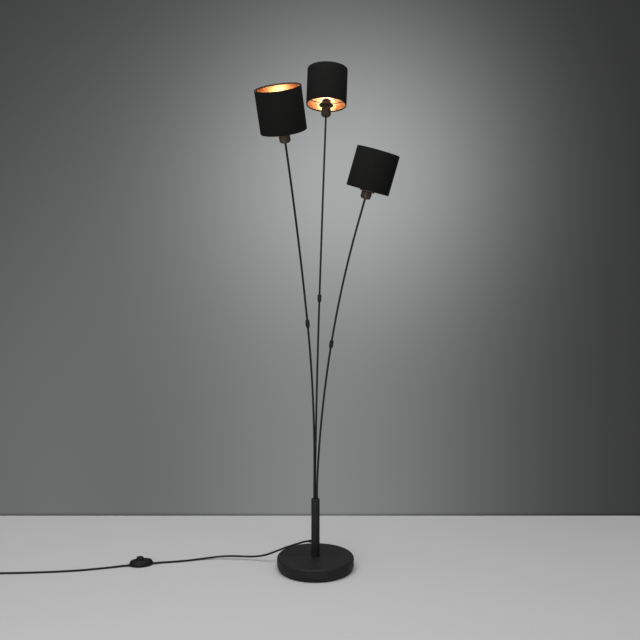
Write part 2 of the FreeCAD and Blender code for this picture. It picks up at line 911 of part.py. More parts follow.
def make_shade(arm):
    place = arm.head_place()
    seat, thread = arm.seat, S["holder_thread_diameter"] / 2
    # the collar under the frame and the clamping ring over it
    bore = thread + S["ring_thread_gap"]
    outer, bevel = S["ring_diameter"] / 2, S["ring_bevel"]
    low = seat - S["ring_height"]
    collar = turned(
        [
            (bore, low),
            (outer - bevel, low),
            (outer, low + bevel),
            (outer, seat - bevel / 2),
            (outer - bevel / 2, seat),
            (bore, seat),
        ]
    )
    clamp_bottom = seat + S["frame_plate_thickness"]
    clamp = S["clamp_diameter"] / 2
    ring = turned(
        [
            (bore, clamp_bottom),
            (clamp, clamp_bottom),
            (clamp, clamp_bottom + S["clamp_height"]),
            (bore, clamp_bottom + S["clamp_height"]),
        ]
    )
    rings = DOC.addObject("Part::Compound", "Rings")
    rings.Links = [collar, ring]
    node(rings, f"{arm.side}_shade_rings", place)

    wire = S["frame_wire"] / 2
    shade = S["shade_diameter"] / 2
    liner_out = shade - S["fabric_thickness"] - S["laminate_gap"]
    liner_in = liner_out - S["liner_thickness"]
    hoop = liner_in - S["frame_liner_gap"] - wire
    plate_out, plate = S["frame_plate_diameter"] / 2, S["frame_plate_thickness"]
    plate_bore = thread + S["frame_bore_gap"]
    disc = cut(
        cylinder(plate_out, plate, at(z=seat)),
        cylinder(plate_bore, plate * 3, at(z=seat.value - plate.value)),
    )
    spoke_start = clamp.value + 2 * number(S["frame_bore_gap"])
    spokes = [
        cylinder(
            wire,
            hoop - spoke_start,
            at(rotation=Rotation(Vector(0, 0, 1), number(arm.spoke_turn) + 360 / SPOKES * i)).multiply(
                at(spoke_start, 0, seat + wire, Rotation(Vector(0, 1, 0), 90))
            ),
        )
        for i in range(SPOKES)
    ]
    hoops = []
    for height in (seat + wire, seat + S["shade_height"] - wire):
        ring = DOC.addObject("Part::Torus", "Hoop")
        bind(ring, Radius1=hoop, Radius2=wire)
        ring.Placement = at(z=height)
        hoops.append(ring)
    frame = DOC.addObject("Part::Compound", "Frame")
    frame.Links = [fuse(disc, hoops[0], *spokes), hoops[1]]
    node(frame, f"{arm.side}_shade_frame", place)

    for name, inner, outside in (
        ("shade_fabric", shade - S["fabric_thickness"], shade),
        ("shade_liner", liner_in, liner_out),
    ):
        top = seat + S["shade_height"]
        skin = turned([(inner, seat), (outside, seat), (outside, top), (inner, top)])
        node(skin, f"{arm.side}_{name}", place)


# ---------------------------------------------------------------- foot switch

SWITCH_PLACE = at(SWITCH_CENTRE[0], SWITCH_CENTRE[1], 0, Rotation(Vector(0, 0, 1), SWITCH_YAW))


def lens(length, width, end_width):
    """A plan of two shallow arcs joined by short straight ends."""
    x, y = length / 2, end_width / 2
    rise = width / 2 - y
    radius = (x * x + rise * rise) / (rise * 2)
    return [
        (x, y),
        Arc(radius, x * -1, y, 1),
        (x * -1, y * -1),
        Arc(radius, x, y * -1, 1),
    ]


def make_switch():
    length, width, end = S["switch_length"], S["switch_width"], S["switch_end_width"]
    wall, low, high = S["switch_wall"], S["switch_lower_height"], S["switch_upper_height"]
    hollow = lens(length - wall * 6, width - wall * 3, end - wall)
    mouth = S["switch_mouth_diameter"] / 2
    dish = padded(lens(length - wall, width, end), low, S["switch_under_taper"], low, down=True)
    along = Rotation(Vector(0, 1, 0), 90)
    start = at(length.value / -2, 0, S["switch_cord_height"], along)
    mouths = cylinder(mouth, length, start)
    inside = padded(lens(length - wall * 9, width - wall * 6, end - wall), low, lift=wall)
    bore = cylinder(S["cord_diameter"] / 2 - wall / 2, length - wall * 4)
    bore.Placement = at(number(length - wall * 4) / -2, 0, S["switch_cord_height"], along)
    node(cut(fuse(dish, mouths), inside, bore), "switch_lower_shell", SWITCH_PLACE)
    top = low + high
    button, gap = S["button_diameter"] / 2, S["button_gap"]
    shell = padded(lens(length - wall, width, end), high, S["switch_taper"], low)
    room = padded(hollow, high - wall, S["switch_taper"], low)
    side = S["button_offset"]
    chute = cylinder(button + gap, high * 2, at(side, 0, low))
    node(cut(shell, room, chute), "switch_upper_shell", SWITCH_PLACE)
    # the button's flange is held under the shell's roof
    flange = button + S["button_flange"]
    flange_top = top - wall - S["grip_seat_gap"]
    flange_low = flange_top - S["button_flange_thickness"]
    crown = top + S["button_rise"]
    edge = S["button_round"]
    cap = turned(
        [
            (0, flange_low),
            (flange, flange_low),
            (flange, flange_top),
            (button, flange_top),
            (button, crown - edge),
            Arc(edge, button - edge, crown, 1),
            (0, crown),
        ]
    )
    node(cap, "switch_button", SWITCH_PLACE.multiply(at(side)))
    height = flange_low - wall - S["button_stroke"] - S["grip_seat_gap"]
    block = DOC.addObject("Part::Box", "Block")
    bind(block, Length=S["mechanism_length"], Width=S["mechanism_width"], Height=height)
    middle = at(
        number(S["mechanism_length"]) / -2, number(S["mechanism_width"]) / -2, wall.value
    )
    block.Placement = middle
    node(block, "switch_mechanism", SWITCH_PLACE)


# ---------------------------------------------------------------- cord, coil and plug


def rounded_route(points):
    """Straight runs joined by tangent arcs, each arc as large as its two runs allow. Prints the radii."""
    route = [Vector(*p) for p in points]
    edges, radii, start = [], [], route[0]
    for before, corner, after in zip(route, route[1:], route[2:]):
        back, ahead = (before - corner), (after - corner)
        reach = 0.45 * min(back.Length, ahead.Length)
        back.normalize()
        ahead.normalize()
        turn = math.pi - back.getAngle(ahead)
        radii.append(reach / math.tan(turn / 2))
        first, last = corner + back * reach, corner + ahead * reach
        inward = (back + ahead).normalize()
        depth = radii[-1] * (1 / math.cos(turn / 2) - 1)
        edges.append(Part.LineSegment(start, first).toShape())
        edges.append(Part.Arc(first, corner + inward * depth, last).toShape())
        start = last
    edges.append(Part.LineSegment(start, route[-1]).toShape())
    print("cord radii:", [round(r) for r in radii])
    return Part.Wire(edges)


def tube(wire, radius):
    """A solid round tube along a wire."""
    first = wire.OrderedEdges[0]
    start = first.valueAt(first.FirstParameter)
    direction = first.tangentAt(first.FirstParameter)
    profile = Part.Wire([Part.makeCircle(radius, start, direction)])
    solid = wire.makePipeShell([profile], True, False)
    expected = math.pi * radius * radius * wire.Length
    print("tube: length", round(wire.Length, 1), "volume ratio", round(solid.Volume / expected, 4))
    return solid


def biarc(start, heading, end, arriving):
    """Two arcs that leave start along heading and reach end along arriving, with one tangent between them."""
    chord = end - start
    both = heading + arriving
    square = 2 * (1 - heading.dot(arriving))
    along = chord.dot(both)
    if square < EPS:
        reach = chord.dot(chord) / (4 * chord.dot(arriving))
    else:
        reach = (-along + math.sqrt(along * along + square * chord.dot(chord))) / square
    joint = (start + end + (heading - arriving) * reach) * 0.5
    return [
        one_arc(start, heading, joint),
        one_arc(end, arriving * -1, joint),
    ]


def one_arc(start, heading, end):
    """The arc that leaves start along heading and ends at end."""
    chord = end - start
    length = chord.Length
    half = heading.getAngle(chord)
    # the arc's middle stands over the chord's middle, on the side that it leaves towards
    side = heading - chord * (heading.dot(chord) / chord.dot(chord))
    if side.Length < EPS:
        return Part.LineSegment(start, end).toShape()
    side.normalize()
    middle = start + chord * 0.5 + side * (length / 2 * math.tan(half / 2))
    return Part.Arc(start, middle, end).toShape()


def coil_point(turn):
    """(point, heading) of the coil's centre line after some turns: in on the floor, up, and out on top."""
    climb = 0.5
    flat = (number(S["coil_turns"]) - climb) / 2
    pitch, outer = number(S["coil_turn_pitch"]), number(S["coil_outer_diameter"]) / 2
    floor = number(S["cord_diameter"]) / 2 + number(S["floor_clearance"])
    inner = outer - pitch * flat
    if turn <= flat:
        radius, height = outer - pitch * turn, 0.0
        slope, rise = -pitch, 0.0
    elif turn <= flat + climb:
        share = (turn - flat) / climb
        radius = inner - pitch * climb * share * (1 - share)
        slope = pitch * (2 * share - 1)
        height = share * share * (3 - 2 * share)
        rise = 6 * share * (1 - share) / climb
    else:
        radius, height = inner + pitch * (turn - flat - climb), 1.0
        slope, rise = pitch, 0.0
    layer = number(S["coil_layer_pitch"])
    angle = math.pi / 2 + 2 * math.pi * turn
    out = Vector(math.cos(angle), math.sin(angle), 0)
    round_about = Vector(-math.sin(angle), math.cos(angle), 0)
    centre = Vector(COIL_START[0], COIL_START[1] - outer, floor)
    point = centre + out * radius + Vector(0, 0, layer * height)
    heading = round_about * (2 * math.pi * radius) + out * slope + Vector(0, 0, layer * rise)
    if turn in (0.0, number(S["coil_turns"])):
        heading = Vector(round_about)
    return point, heading.normalize()


def coil_route():
    """The coil as quarter turns of two arcs each, then a straight end that leads to the plug."""
    steps = round(number(S["coil_turns"]) * 4)
    stops = [coil_point(i * number(S["coil_turns"]) / steps) for i in range(steps + 1)]
    edges = []
    lead = number(S["cord_diameter"])
    first, heading = stops[0]
    edges.append(Part.LineSegment(first - heading * lead, first).toShape())
    for (start, leaving), (end, arriving) in zip(stops, stops[1:]):
        edges += biarc(start, leaving, end, arriving)
    return edges, stops[-1]


def least_gap(wire, diameter):
    """The least gap between two stretches of a wound tube."""
    points = wire.discretize(Distance=1.5)
    apart = round(3 * diameter / 1.5)
    least = min(
        (points[i] - points[j]).Length
        for i in range(len(points))
        for j in range(i + apart, len(points))
    )
    return least - diameter


def cord_routes():
    """The control points of the two free cords, each from end face to end face."""
    start = grip_mouth().multVec(Vector(0, 0, number(S["grip_sleeve_length"])))
    half, height = number(S["switch_length"]) / 2, number(S["switch_cord_height"])
    arrival = SWITCH_PLACE.multVec(Vector(half, 0, height))
    departure = SWITCH_PLACE.multVec(Vector(half * -1, 0, height))
    point, heading = coil_point(0.0)
    coil_end = point - heading * number(S["cord_diameter"])
    return (
        ("cord_to_switch", [start, *CORD_TO_SWITCH, arrival]),
        ("cord_to_coil", [departure, *CORD_TO_COIL, coil_end]),
    )


def make_cords():
    radius = number(S["cord_diameter"]) / 2
    for label, points in cord_routes():
        print(label, [tuple(round(c, 2) for c in p) for p in points])
        solid = DOC.addObject("Part::Feature", "Cord")
        solid.Shape = tube(rounded_route(points), radius)
        node(solid, label)
    edges, (last, heading) = coil_route()
    plug_axis = number(S["plug_height"]) / 2
    # the tail sinks to the plug's axis in two shallow turns
    drop = last.z - plug_axis
    knee = last + heading * (CORD_TAIL / 2) - Vector(0, 0, drop / 2)
    end = last + heading * CORD_TAIL - Vector(0, 0, drop)
    edges += biarc(last, heading, knee, (heading - Vector(0, 0, 2 * drop / CORD_TAIL)).normalize())
    edges += biarc(knee, (heading - Vector(0, 0, 2 * drop / CORD_TAIL)).normalize(), end, heading)
    tail = end + heading * (2 * radius)
    edges.append(Part.LineSegment(end, tail).toShape())
    wire = Part.Wire(Part.__sortEdges__(edges))
    print("coil: least gap", round(least_gap(wire, 2 * radius), 2))
    solid = DOC.addObject("Part::Feature", "Coil")
    solid.Shape = tube(wire, radius)
    node(solid, "cord_coil")
    return tail, heading


def make_plug(end, heading):
    """A flat two-pin plug whose back meets the cord's end."""
    length, width, neck = S["plug_length"], S["plug_width"] / 2, S["plug_neck_width"] / 2
    outline = [
        (0, neck * -1),
        (length / 3, neck * -1.2),
        (length / 1.6, width * -1),
        (length, width * -1),
        (length, width),
        (length / 1.6, width),
        (length / 3, neck * 1.2),
        (0, neck),
    ]
    yaw = math.degrees(math.atan2(heading.y, heading.x))
    place = at(end.x, end.y, 0, Rotation(Vector(0, 0, 1), yaw))
    body = padded(outline, S["plug_height"])
    shell = rounded(body, S["plug_round"], lambda e: not is_upright(e) and not at_back(e))
    node(shell, "plug_body", place)
    across = S["plug_pin_spacing"] / 2
    pins = DOC.addObject("Part::Compound", "Pins")
    pins.Links = [
        cylinder(
            S["plug_pin_diameter"] / 2,
            S["plug_pin_length"],
            at(length, side * across.value, S["plug_height"] / 2, Rotation(Vector(0, 1, 0), 90)),
        )
        for side in (-1, 1)
    ]
    node(pins, "plug_pins", place)


def is_upright(edge):
    first, last = edge.Vertexes[0].Point, edge.Vertexes[-1].Point
    return abs(first.z - last.z) > EPS


def at_back(edge):
    return all(abs(v.Point.x) < EPS for v in edge.Vertexes)


# ---------------------------------------------------------------- the whole lamp

ARMS = [ArmLine(side) for side in ("left", "rear", "right")]


def check_and_write():
    """Refuses a failed feature or a bad shape, then writes every sub-part to its file."""
    DOC.recompute()
    for obj in DOC.Objects:
        if "Invalid" in obj.State or "Error" in obj.State:
            raise RuntimeError(f"{obj.Name} ({obj.Label}) failed: {obj.State}")
    os.makedirs("parts", exist_ok=True)
    for obj in NODES:
        shape = obj.Shape
        if shape.isNull() or not shape.isValid() or not shape.Solids:
            raise RuntimeError(f"{obj.Label} has no valid solid")
        shape.exportStep(f"parts/{obj.Label}.step")
        print(f"{obj.Label}: {len(shape.Solids)} solid(s), {shape.Volume / 1000:.2f} cm3")


def main():
    make_base()
    make_rod_and_nut()
    make_column()
    make_terminal_block()
    make_grip()
    for arm in ARMS:
        make_arm(arm)
        make_coupler(arm)
        make_holder(arm)
        make_bulb(arm)
        make_shade(arm)
    make_switch()
    make_plug(*make_cords())
    check_and_write()


main()
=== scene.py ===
"""Tree floor lamp: a round base, a short column and three bendable arms with small gold-lined drum shades.

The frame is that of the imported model: the origin is the middle of the base's underside, +Z is up and
-Y is the front. The lamp's sizes are in millimetres, and move() and the mesh makers turn them into
metres. The stage's sizes are in metres.
"""

import logging
import math
from dataclasses import dataclass, field
from enum import Enum
from typing import Callable, Mapping, Optional, Sequence

import bmesh
import bpy
from mathutils import Matrix, Vector


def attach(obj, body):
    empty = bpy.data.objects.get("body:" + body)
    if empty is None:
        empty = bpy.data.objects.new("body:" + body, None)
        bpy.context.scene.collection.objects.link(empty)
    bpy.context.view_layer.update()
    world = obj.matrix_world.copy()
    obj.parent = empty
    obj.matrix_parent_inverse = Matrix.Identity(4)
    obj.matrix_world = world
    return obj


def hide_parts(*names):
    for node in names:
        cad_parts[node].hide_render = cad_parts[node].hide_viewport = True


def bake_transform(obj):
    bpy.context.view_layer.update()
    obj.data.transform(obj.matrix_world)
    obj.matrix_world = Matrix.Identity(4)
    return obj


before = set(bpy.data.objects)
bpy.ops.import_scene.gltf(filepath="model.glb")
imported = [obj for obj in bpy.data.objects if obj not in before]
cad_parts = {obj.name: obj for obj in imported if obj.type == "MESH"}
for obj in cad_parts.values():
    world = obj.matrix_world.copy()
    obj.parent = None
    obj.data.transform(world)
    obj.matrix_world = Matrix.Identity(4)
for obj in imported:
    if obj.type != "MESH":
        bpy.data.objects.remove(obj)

LOG = logging.getLogger("floor_lamp")
MM = 0.001
TINY = 1e-9
MERGE_WITHIN = 1e-7  # metres
CRISP = 34.0  # degrees between two faces
STACK_CRISP = 30.0
EDGE_USE = 0.98  # the share of an edge that roundings may take
LEAST_MITRE = 0.5
THREADS_PER_METRE = 2100.0

Material = bpy.types.Material
Piece = bpy.types.Object
Node = bpy.types.Node
Socket = bpy.types.NodeSocket
Tree = bpy.types.NodeTree
Point = tuple[float, float, float]
Profile = Sequence[tuple[float, ...]]


class Side(Enum):
    """The three arms, named by where they stand."""

    LEFT = "left"
    REAR = "rear"
    RIGHT = "right"


# ------------------------------------------------------------------ places


def move(x: float = 0.0, y: float = 0.0, z: float = 0.0) -> Matrix:
    """A shift, given in millimetres."""
    return Matrix.Translation((x * MM, y * MM, z * MM))


def spin(degrees: float, axis: str = "Z") -> Matrix:
    """A turn about an axis."""
    return Matrix.Rotation(math.radians(degrees), 4, axis)


def along_arc(distance: float, length: float, bend: float) -> Matrix:
    """The frame at a distance along an arc that bends from Z towards X.

    Args:
        distance: how far along the arc.
        length: the arc's whole length.
        bend: the degrees that it bends in that length.

    Returns:
        The frame, with its Z along the arc.
    """
    radius = length / math.radians(bend)
    turn = distance / radius
    there = move(radius * (1 - math.cos(turn)), 0, radius * math.sin(turn))
    return there @ Matrix.Rotation(turn, 4, "Y")


# ------------------------------------------------------------------ mesh making


def as_object(name: str, mesh: bpy.types.Mesh, material: Material) -> Piece:
    """Puts a mesh in the scene as a piece with one material.

    Args:
        name: the piece's name.
        mesh: its mesh.
        material: its finish.

    Returns:
        The piece.
    """
    obj = bpy.data.objects.new(name, mesh)
    bpy.context.scene.collection.objects.link(obj)
    mesh.materials.clear()
    mesh.materials.append(material)
    return obj


def close_piece(
    bm: bmesh.types.BMesh,
    name: str,
    material: Material,
    place: Optional[Matrix] = None,
    sharp: float = CRISP,
) -> Piece:
    """Merges doubles, turns the faces outwards, marks the sharp edges and makes the piece.

    Args:
        bm: the mesh in the making, freed here.
        name: the piece's name.
        material: its finish.
        place: where it stands.
        sharp: the least angle between faces, in degrees, that stays a crisp edge.

    Returns:
        The piece, smooth but for its sharp edges.
    """
    bmesh.ops.remove_doubles(bm, verts=bm.verts, dist=MERGE_WITHIN)
    bmesh.ops.recalc_face_normals(bm, faces=bm.faces)
    for face in bm.faces:
        face.smooth = True
    for edge in bm.edges:
        edge.smooth = len(edge.link_faces) != 2 or edge.calc_face_angle(0.0) < math.radians(sharp)
    mesh = bpy.data.meshes.new(name)
    bm.to_mesh(mesh)
    bm.free()
    mesh.transform(place or Matrix())
    return as_object(name, mesh, material)


def circle(radius: float, count: int) -> list[tuple[float, float]]:
    """Even points on a circle, from the first axis round."""
    angles = (math.tau * i / count for i in range(count))
    return [(radius * math.cos(a), radius * math.sin(a)) for a in angles]


def skin(bm: bmesh.types.BMesh, rings: Sequence[Sequence[bmesh.types.BMVert]]) -> None:
    """Closes a row of rings with walls between them and a lid at each end.

    Args:
        bm: the mesh in the making.
        rings: the rings' vertices, as many in each.
    """
    count = len(rings[0])
    for low, high in zip(rings, rings[1:]):
        for i in range(count):
            j = (i + 1) % count
            bm.faces.new((low[i], low[j], high[j], high[i]))
    bm.faces.new(rings[0][::-1])
    bm.faces.new(rings[-1])


def radius_share(radius: float, neighbour: Sequence[float]) -> float:
    """The share of an edge that a corner's rounding may take, next to a neighbour with its own radius."""
    other = neighbour[2] if len(neighbour) > 2 else 0.0
    return EDGE_USE * radius / (radius + other)


def rounded(corners: Profile, closed: bool = True, steps: int = 5) -> list[tuple[float, float]]:
    """Rounds the corners of an outline.

    Args:
        corners: (across, along) or (across, along, radius) for each corner.
        closed: whether the outline closes on itself.
        steps: points in each rounding.

    Returns:
        The outline with an arc at each corner that has a radius.
    """
    out: list[tuple[float, float]] = []
    count = len(corners)
    for index, corner in enumerate(corners):
        here = Vector(corner[:2])
        radius = corner[2] if len(corner) > 2 else 0.0
        inner = closed or 0 < index < count - 1
        if radius <= 0 or not inner:
            out.append((here.x, here.y))
            continue
        back = Vector(corners[index - 1][:2]) - here
        ahead = Vector(corners[(index + 1) % count][:2]) - here
        half = back.angle(ahead) / 2
        spare = [radius_share(radius, corners[(index + way) % count]) for way in (-1, 1)]
        reach = min(radius / math.tan(half), back.length * spare[0], ahead.length * spare[1])
        radius = reach * math.tan(half)
        inwards = (back.normalized() + ahead.normalized()).normalized()
        middle = here + inwards * (radius / math.sin(half))
        first = here + back.normalized() * reach - middle
        last = here + ahead.normalized() * reach - middle
        if min(first.length, last.length) < TINY:
            out.append((here.x, here.y))
            continue
        sweep = first.angle_signed(last)
        for step in range(steps + 1):
            turned = first.copy()
            turned.rotate(Matrix.Rotation(-sweep * step / steps, 2))
            out.append(tuple(middle + turned))
    return out


def lathe(
    name: str,
    outline: Profile,
    material: Material,
    place: Optional[Matrix] = None,
    around: int = 96,
    sharp: float = CRISP,
    map_radius: float = 0.0,
) -> Piece:
    """Turns a closed outline about the Z axis.

    Args:
        name: the piece's name.
        outline: (radius, height) points.
        material: the piece's finish.
        place: where the turned form stands.
        around: faces in a full turn.
        sharp: angle that stays crisp, in degrees.
        map_radius: when not 0, adds a map in metres round and along the form, about this radius.

    Returns:
        The piece.
    """
    bm = bmesh.new()
    points = [(p[0] * MM, p[1] * MM) for p in outline]
    rings = []
    for radius, height in points:
        if radius < TINY:
            rings.append([bm.verts.new((0, 0, height))] * around)
            continue
        rings.append([bm.verts.new((x, y, height)) for x, y in circle(radius, around)])
    layer = bm.loops.layers.uv.new("Round") if map_radius else None
    width = math.tau * map_radius * MM / around
    run = 0.0
    for index, ring in enumerate(rings):
        following = (index + 1) % len(rings)
        after, top = rings[following], run + math.dist(points[index], points[following])
        for i in range(around):
            j = (i + 1) % around
            corners = (ring[i], i, run), (ring[j], i + 1, run), (after[j], i + 1, top), (after[i], i, top)
            kept = []
            for corner in corners:
                if all(corner[0] is not k[0] for k in kept):
                    kept.append(corner)
            if len(kept) < 3:
                continue
            face = bm.faces.new([k[0] for k in kept])
            if layer is not None:
                for loop, (_, turn, height) in zip(face.loops, kept):
                    loop[layer].uv = (width * turn, height)
        run = top
    return close_piece(bm, name, material, place, sharp)


def tube_along(
    name: str,
    frames: Sequence[Matrix],
    radius: float | Callable[[float], float],
    material: Material,
    around: int = 24,
) -> Piece:
    """A closed round rod through a row of frames whose Z runs along it.

    Args:
        name: the piece's name.
        frames: where the rod's rings stand.
        radius: its radius, or the radius at a share of the length.
        material: the piece's finish.
        around: faces in a ring.

    Returns:
        The piece.
    """
    bm = bmesh.new()
    rings = []
    for index, place in enumerate(frames):
        size = MM * (radius(index / (len(frames) - 1)) if callable(radius) else radius)
        rings.append([bm.verts.new(place @ Vector((x, y, 0))) for x, y in circle(size, around)])
    skin(bm, rings)
    return close_piece(bm, name, material)


def join_pieces(name: str, parts: Sequence[Piece]) -> Piece:
    """Makes one piece of several that share a material.

    Args:
        name: the new piece's name.
        parts: the pieces, removed here.

    Returns:
        The new piece.
    """
    bm = bmesh.new()
    for part in parts:
        bm.from_mesh(part.data)
    mesh = bpy.data.meshes.new(name)
    bm.to_mesh(mesh)
    bm.free()
    material = parts[0].data.materials[0]
    for part in parts:
        bpy.data.objects.remove(part)
    return as_object(name, mesh, material)


def inset_loop(outline: Profile, inset: float) -> list[Vector]:
    """An outline moved inwards by the same distance all round.

    Args:
        outline: (x, y) points, anticlockwise.
        inset: how far in.

    Returns:
        The moved points, one for each point given.
    """
    moved = []
    count = len(outline)
    for index in range(count):
        here = Vector(outline[index][:2])
        back = (here - Vector(outline[index - 1][:2])).normalized().orthogonal()
        ahead = (Vector(outline[(index + 1) % count][:2]) - here).normalized().orthogonal()
        inwards = (back + ahead).normalized()
        mitre = max(inwards.dot(back), LEAST_MITRE)
        moved.append(here + inwards * (inset / mitre))
    return moved


def stacked(
    name: str,
    plan: Callable[[float], Sequence[Sequence[float]]],
    levels: Profile,
    material: Material,
    place: Matrix,
) -> Piece:
    """A solid whose plan is drawn in by an inset that changes with height.

    Args:
        name: the piece's name.
        plan: gives the plan's (x, y) points for an inset, anticlockwise and always as many.
        levels: (inset, height) from the bottom up.
        material: the piece's finish.
        place: where it stands.

    Returns:
        The piece.
    """
    bm = bmesh.new()
    rings = []
    for inset, height in levels:
        rings.append([bm.verts.new((x * MM, y * MM, height * MM)) for x, y in plan(inset)])
    skin(bm, rings)
    return close_piece(bm, name, material, place, STACK_CRISP)


# ------------------------------------------------------------------ node trees


class Wiring:
    """Adds nodes to a tree and joins them, with less said for each."""

    def __init__(self, tree: Tree) -> None:
        """Keeps the tree that is wired."""
        self.tree = tree

    def fill(self, node: Node, inputs: Mapping) -> None:
        """Sets a node's sockets.

        Args:
            node: the node.
            inputs: its sockets by name or number, each given a value or another node's output.
        """
        for key, value in inputs.items():
            if isinstance(value, Socket):
                self.tree.links.new(value, node.inputs[key])
            else:
                node.inputs[key].default_value = value

    def add(self, kind: str, inputs: Optional[Mapping] = None, **settings: object) -> Node:
        """Adds a node.

        Args:
            kind: the node's type.
            inputs: its sockets, as for fill.
            settings: its properties.

        Returns:
            The node.
        """
        node = self.tree.nodes.new(kind)
        for key, value in settings.items():
            setattr(node, key, value)
        self.fill(node, inputs or {})
        return node

    def maths(self, operation: str, *values: object) -> Socket:
        """A Math node's output."""
        return self.add("ShaderNodeMath", dict(enumerate(values)), operation=operation).outputs[0]

    def vector(self, operation: str, inputs: Mapping) -> Socket:
        """A Vector Math node's output."""
        return self.add("ShaderNodeVectorMath", inputs, operation=operation).outputs[0]

    def remap(self, value: object, *ranges: float) -> Socket:
        """A value moved from one range to another, held inside it."""
        return self.add("ShaderNodeMapRange", {0: value, **dict(enumerate(ranges, 1))}).outputs[0]

    def blend(self, share: object, first: object, second: object) -> Socket:
        """A mix of two colours by a share."""
        return self.add("ShaderNodeMix", {0: share, 6: first, 7: second}, data_type="RGBA").outputs[2]

    def noise(self, where: Socket, scale: object, detail: float, roughness: float = 0.5) -> Socket:
        """A noise texture's value."""
        inputs = {"Vector": where, "Scale": scale, "Detail": detail, "Roughness": roughness}
        return self.add("ShaderNodeTexNoise", inputs).outputs[0]

    def bump(self, height: Socket, strength: float, distance: float) -> Socket:
        """A Bump node's normal."""
        inputs = {"Height": height, "Strength": strength, "Distance": distance}
        return self.add("ShaderNodeBump", inputs).outputs[0]

    def split(self, vector: Socket) -> Sequence[Socket]:
        """The x, y and z of a vector."""
        return self.add("ShaderNodeSeparateXYZ", {0: vector}).outputs

    def group(self, tree: Tree, **inputs: object) -> Sequence[Socket]:
        """Places a shader node group and gives its outputs."""
        return self.add("ShaderNodeGroup", inputs, node_tree=tree).outputs


def new_tree(
    name: str, kind: str, inputs: Mapping[str, str], outputs: Mapping[str, str]
) -> tuple[Wiring, Sequence[Socket]]:
    """A node group with named sockets.

    Args:
        name: the group's name.
        kind: ShaderNodeTree or GeometryNodeTree.
        inputs: each input's name, with its kind of value.
        outputs: each output's name, with its kind of value.

    Returns:
        The group's wiring and what its inputs give.
    """
    tree = bpy.data.node_groups.new(name, kind)
    for way, sockets in (("INPUT", inputs), ("OUTPUT", outputs)):
        for label, value in sockets.items():
            tree.interface.new_socket(label, in_out=way, socket_type="NodeSocket" + value)
    return Wiring(tree), tree.nodes.new("NodeGroupInput").outputs


def grain_group() -> Tree:
    """Fine texture of a coated or moulded surface, with broad unevenness under it.

    Returns:
        The group.
    """
    inputs = {"Vector": "Vector", "Grain": "Float", "Patches": "Float"}
    outputs = {"Speck": "Float", "Patch": "Float", "Height": "Float"}
    wire, given = new_tree("FineGrain", "ShaderNodeTree", inputs, outputs)
    speck = wire.noise(given[0], given[1], 2.0)
    patch = wire.noise(given[0], given[2], 3.0, 0.6)
    height = wire.maths("MULTIPLY_ADD", patch, 0.25, speck)
    uneven = wire.remap(patch, 0.3, 0.7, 0.0, 1.0)
    wire.add("NodeGroupOutput", {"Speck": speck, "Patch": uneven, "Height": height})
    return wire.tree


def dust_group() -> Tree:
    """A thin uneven film of dust on faces that look up.

    Returns:
        The group.
    """
    inputs = {"Vector": "Vector", "Amount": "Float"}
    wire, given = new_tree("SettledDust", "ShaderNodeTree", inputs, {"Mask": "Float"})
    up = wire.split(wire.add("ShaderNodeNewGeometry").outputs["Normal"])[2]
    uneven = wire.remap(wire.noise(given[0], 38.0, 5.0, 0.65), 0.35, 0.75, 0.25, 1.0)
    film = wire.maths("MULTIPLY", wire.remap(up, 0.3, 1.0, 0.0, 1.0), uneven)
    wire.add("NodeGroupOutput", {"Mask": wire.maths("MULTIPLY", film, given[1])})
    return wire.tree


def weave_group() -> Tree:
    """Plain weave on a map in metres: over-and-under threads of uneven thickness.

    Returns:
        The group.
    """
    inputs = {"Map": "Vector", "Threads": "Float"}
    wire, given = new_tree("PlainWeave", "ShaderNodeTree", inputs, {"Crown": "Float", "Slub": "Float"})
    wander = wire.add("ShaderNodeTexNoise", {"Vector": given[0], "Scale": 90.0, "Detail": 2.0})
    drift = wire.vector("MULTIPLY", {0: wander.outputs["Color"], 1: (0.0009, 0.0009, 0.0)})
    moved = wire.vector("ADD", {0: given[0], 1: drift})
    ways = wire.split(wire.vector("SCALE", {0: moved, "Scale": given[1]}))[:2]
    cell = wire.maths("ADD", *(wire.maths("FLOOR", way) for way in ways))
    pairs = wire.maths("FLOOR", wire.maths("MULTIPLY", cell, 0.5))
    over = wire.maths("ABSOLUTE", wire.maths("SUBTRACT", cell, wire.maths("MULTIPLY", pairs, 2.0)))
    angles = [wire.maths("MULTIPLY", wire.maths("FRACT", way), math.pi) for way in ways]
    waves = [wire.maths("SINE", angle) for angle in angles]
    warp = wire.maths("MULTIPLY", waves[0], over)
    weft = wire.maths("MULTIPLY", waves[1], wire.maths("SUBTRACT", 1.0, over))
    slub = wire.noise(wire.vector("MULTIPLY", {0: given[0], 1: (900.0, 60.0, 1.0)}), 1.0, 3.0)
    outputs = {"Crown": wire.maths("ADD", warp, weft), "Slub": wire.remap(slub, 0.3, 0.7, 0.0, 1.0)}
    wire.add("NodeGroupOutput", outputs)
    return wire.tree


GRAIN, DUST, WEAVE = grain_group(), dust_group(), weave_group()


def new_material(name: str) -> tuple[Material, Wiring, Node]:
    """A new material.

    Args:
        name: the material's name.

    Returns:
        The material, its wiring and its Principled shader.
    """
    material = bpy.data.materials.new(name)
    material.use_nodes = True
    return material, Wiring(material.node_tree), material.node_tree.nodes["Principled BSDF"]


def round_map(wire: Wiring) -> Socket:
    """The map that lathe() lays round a piece."""
    return wire.add("ShaderNodeUVMap", uv_map="Round").outputs[0]


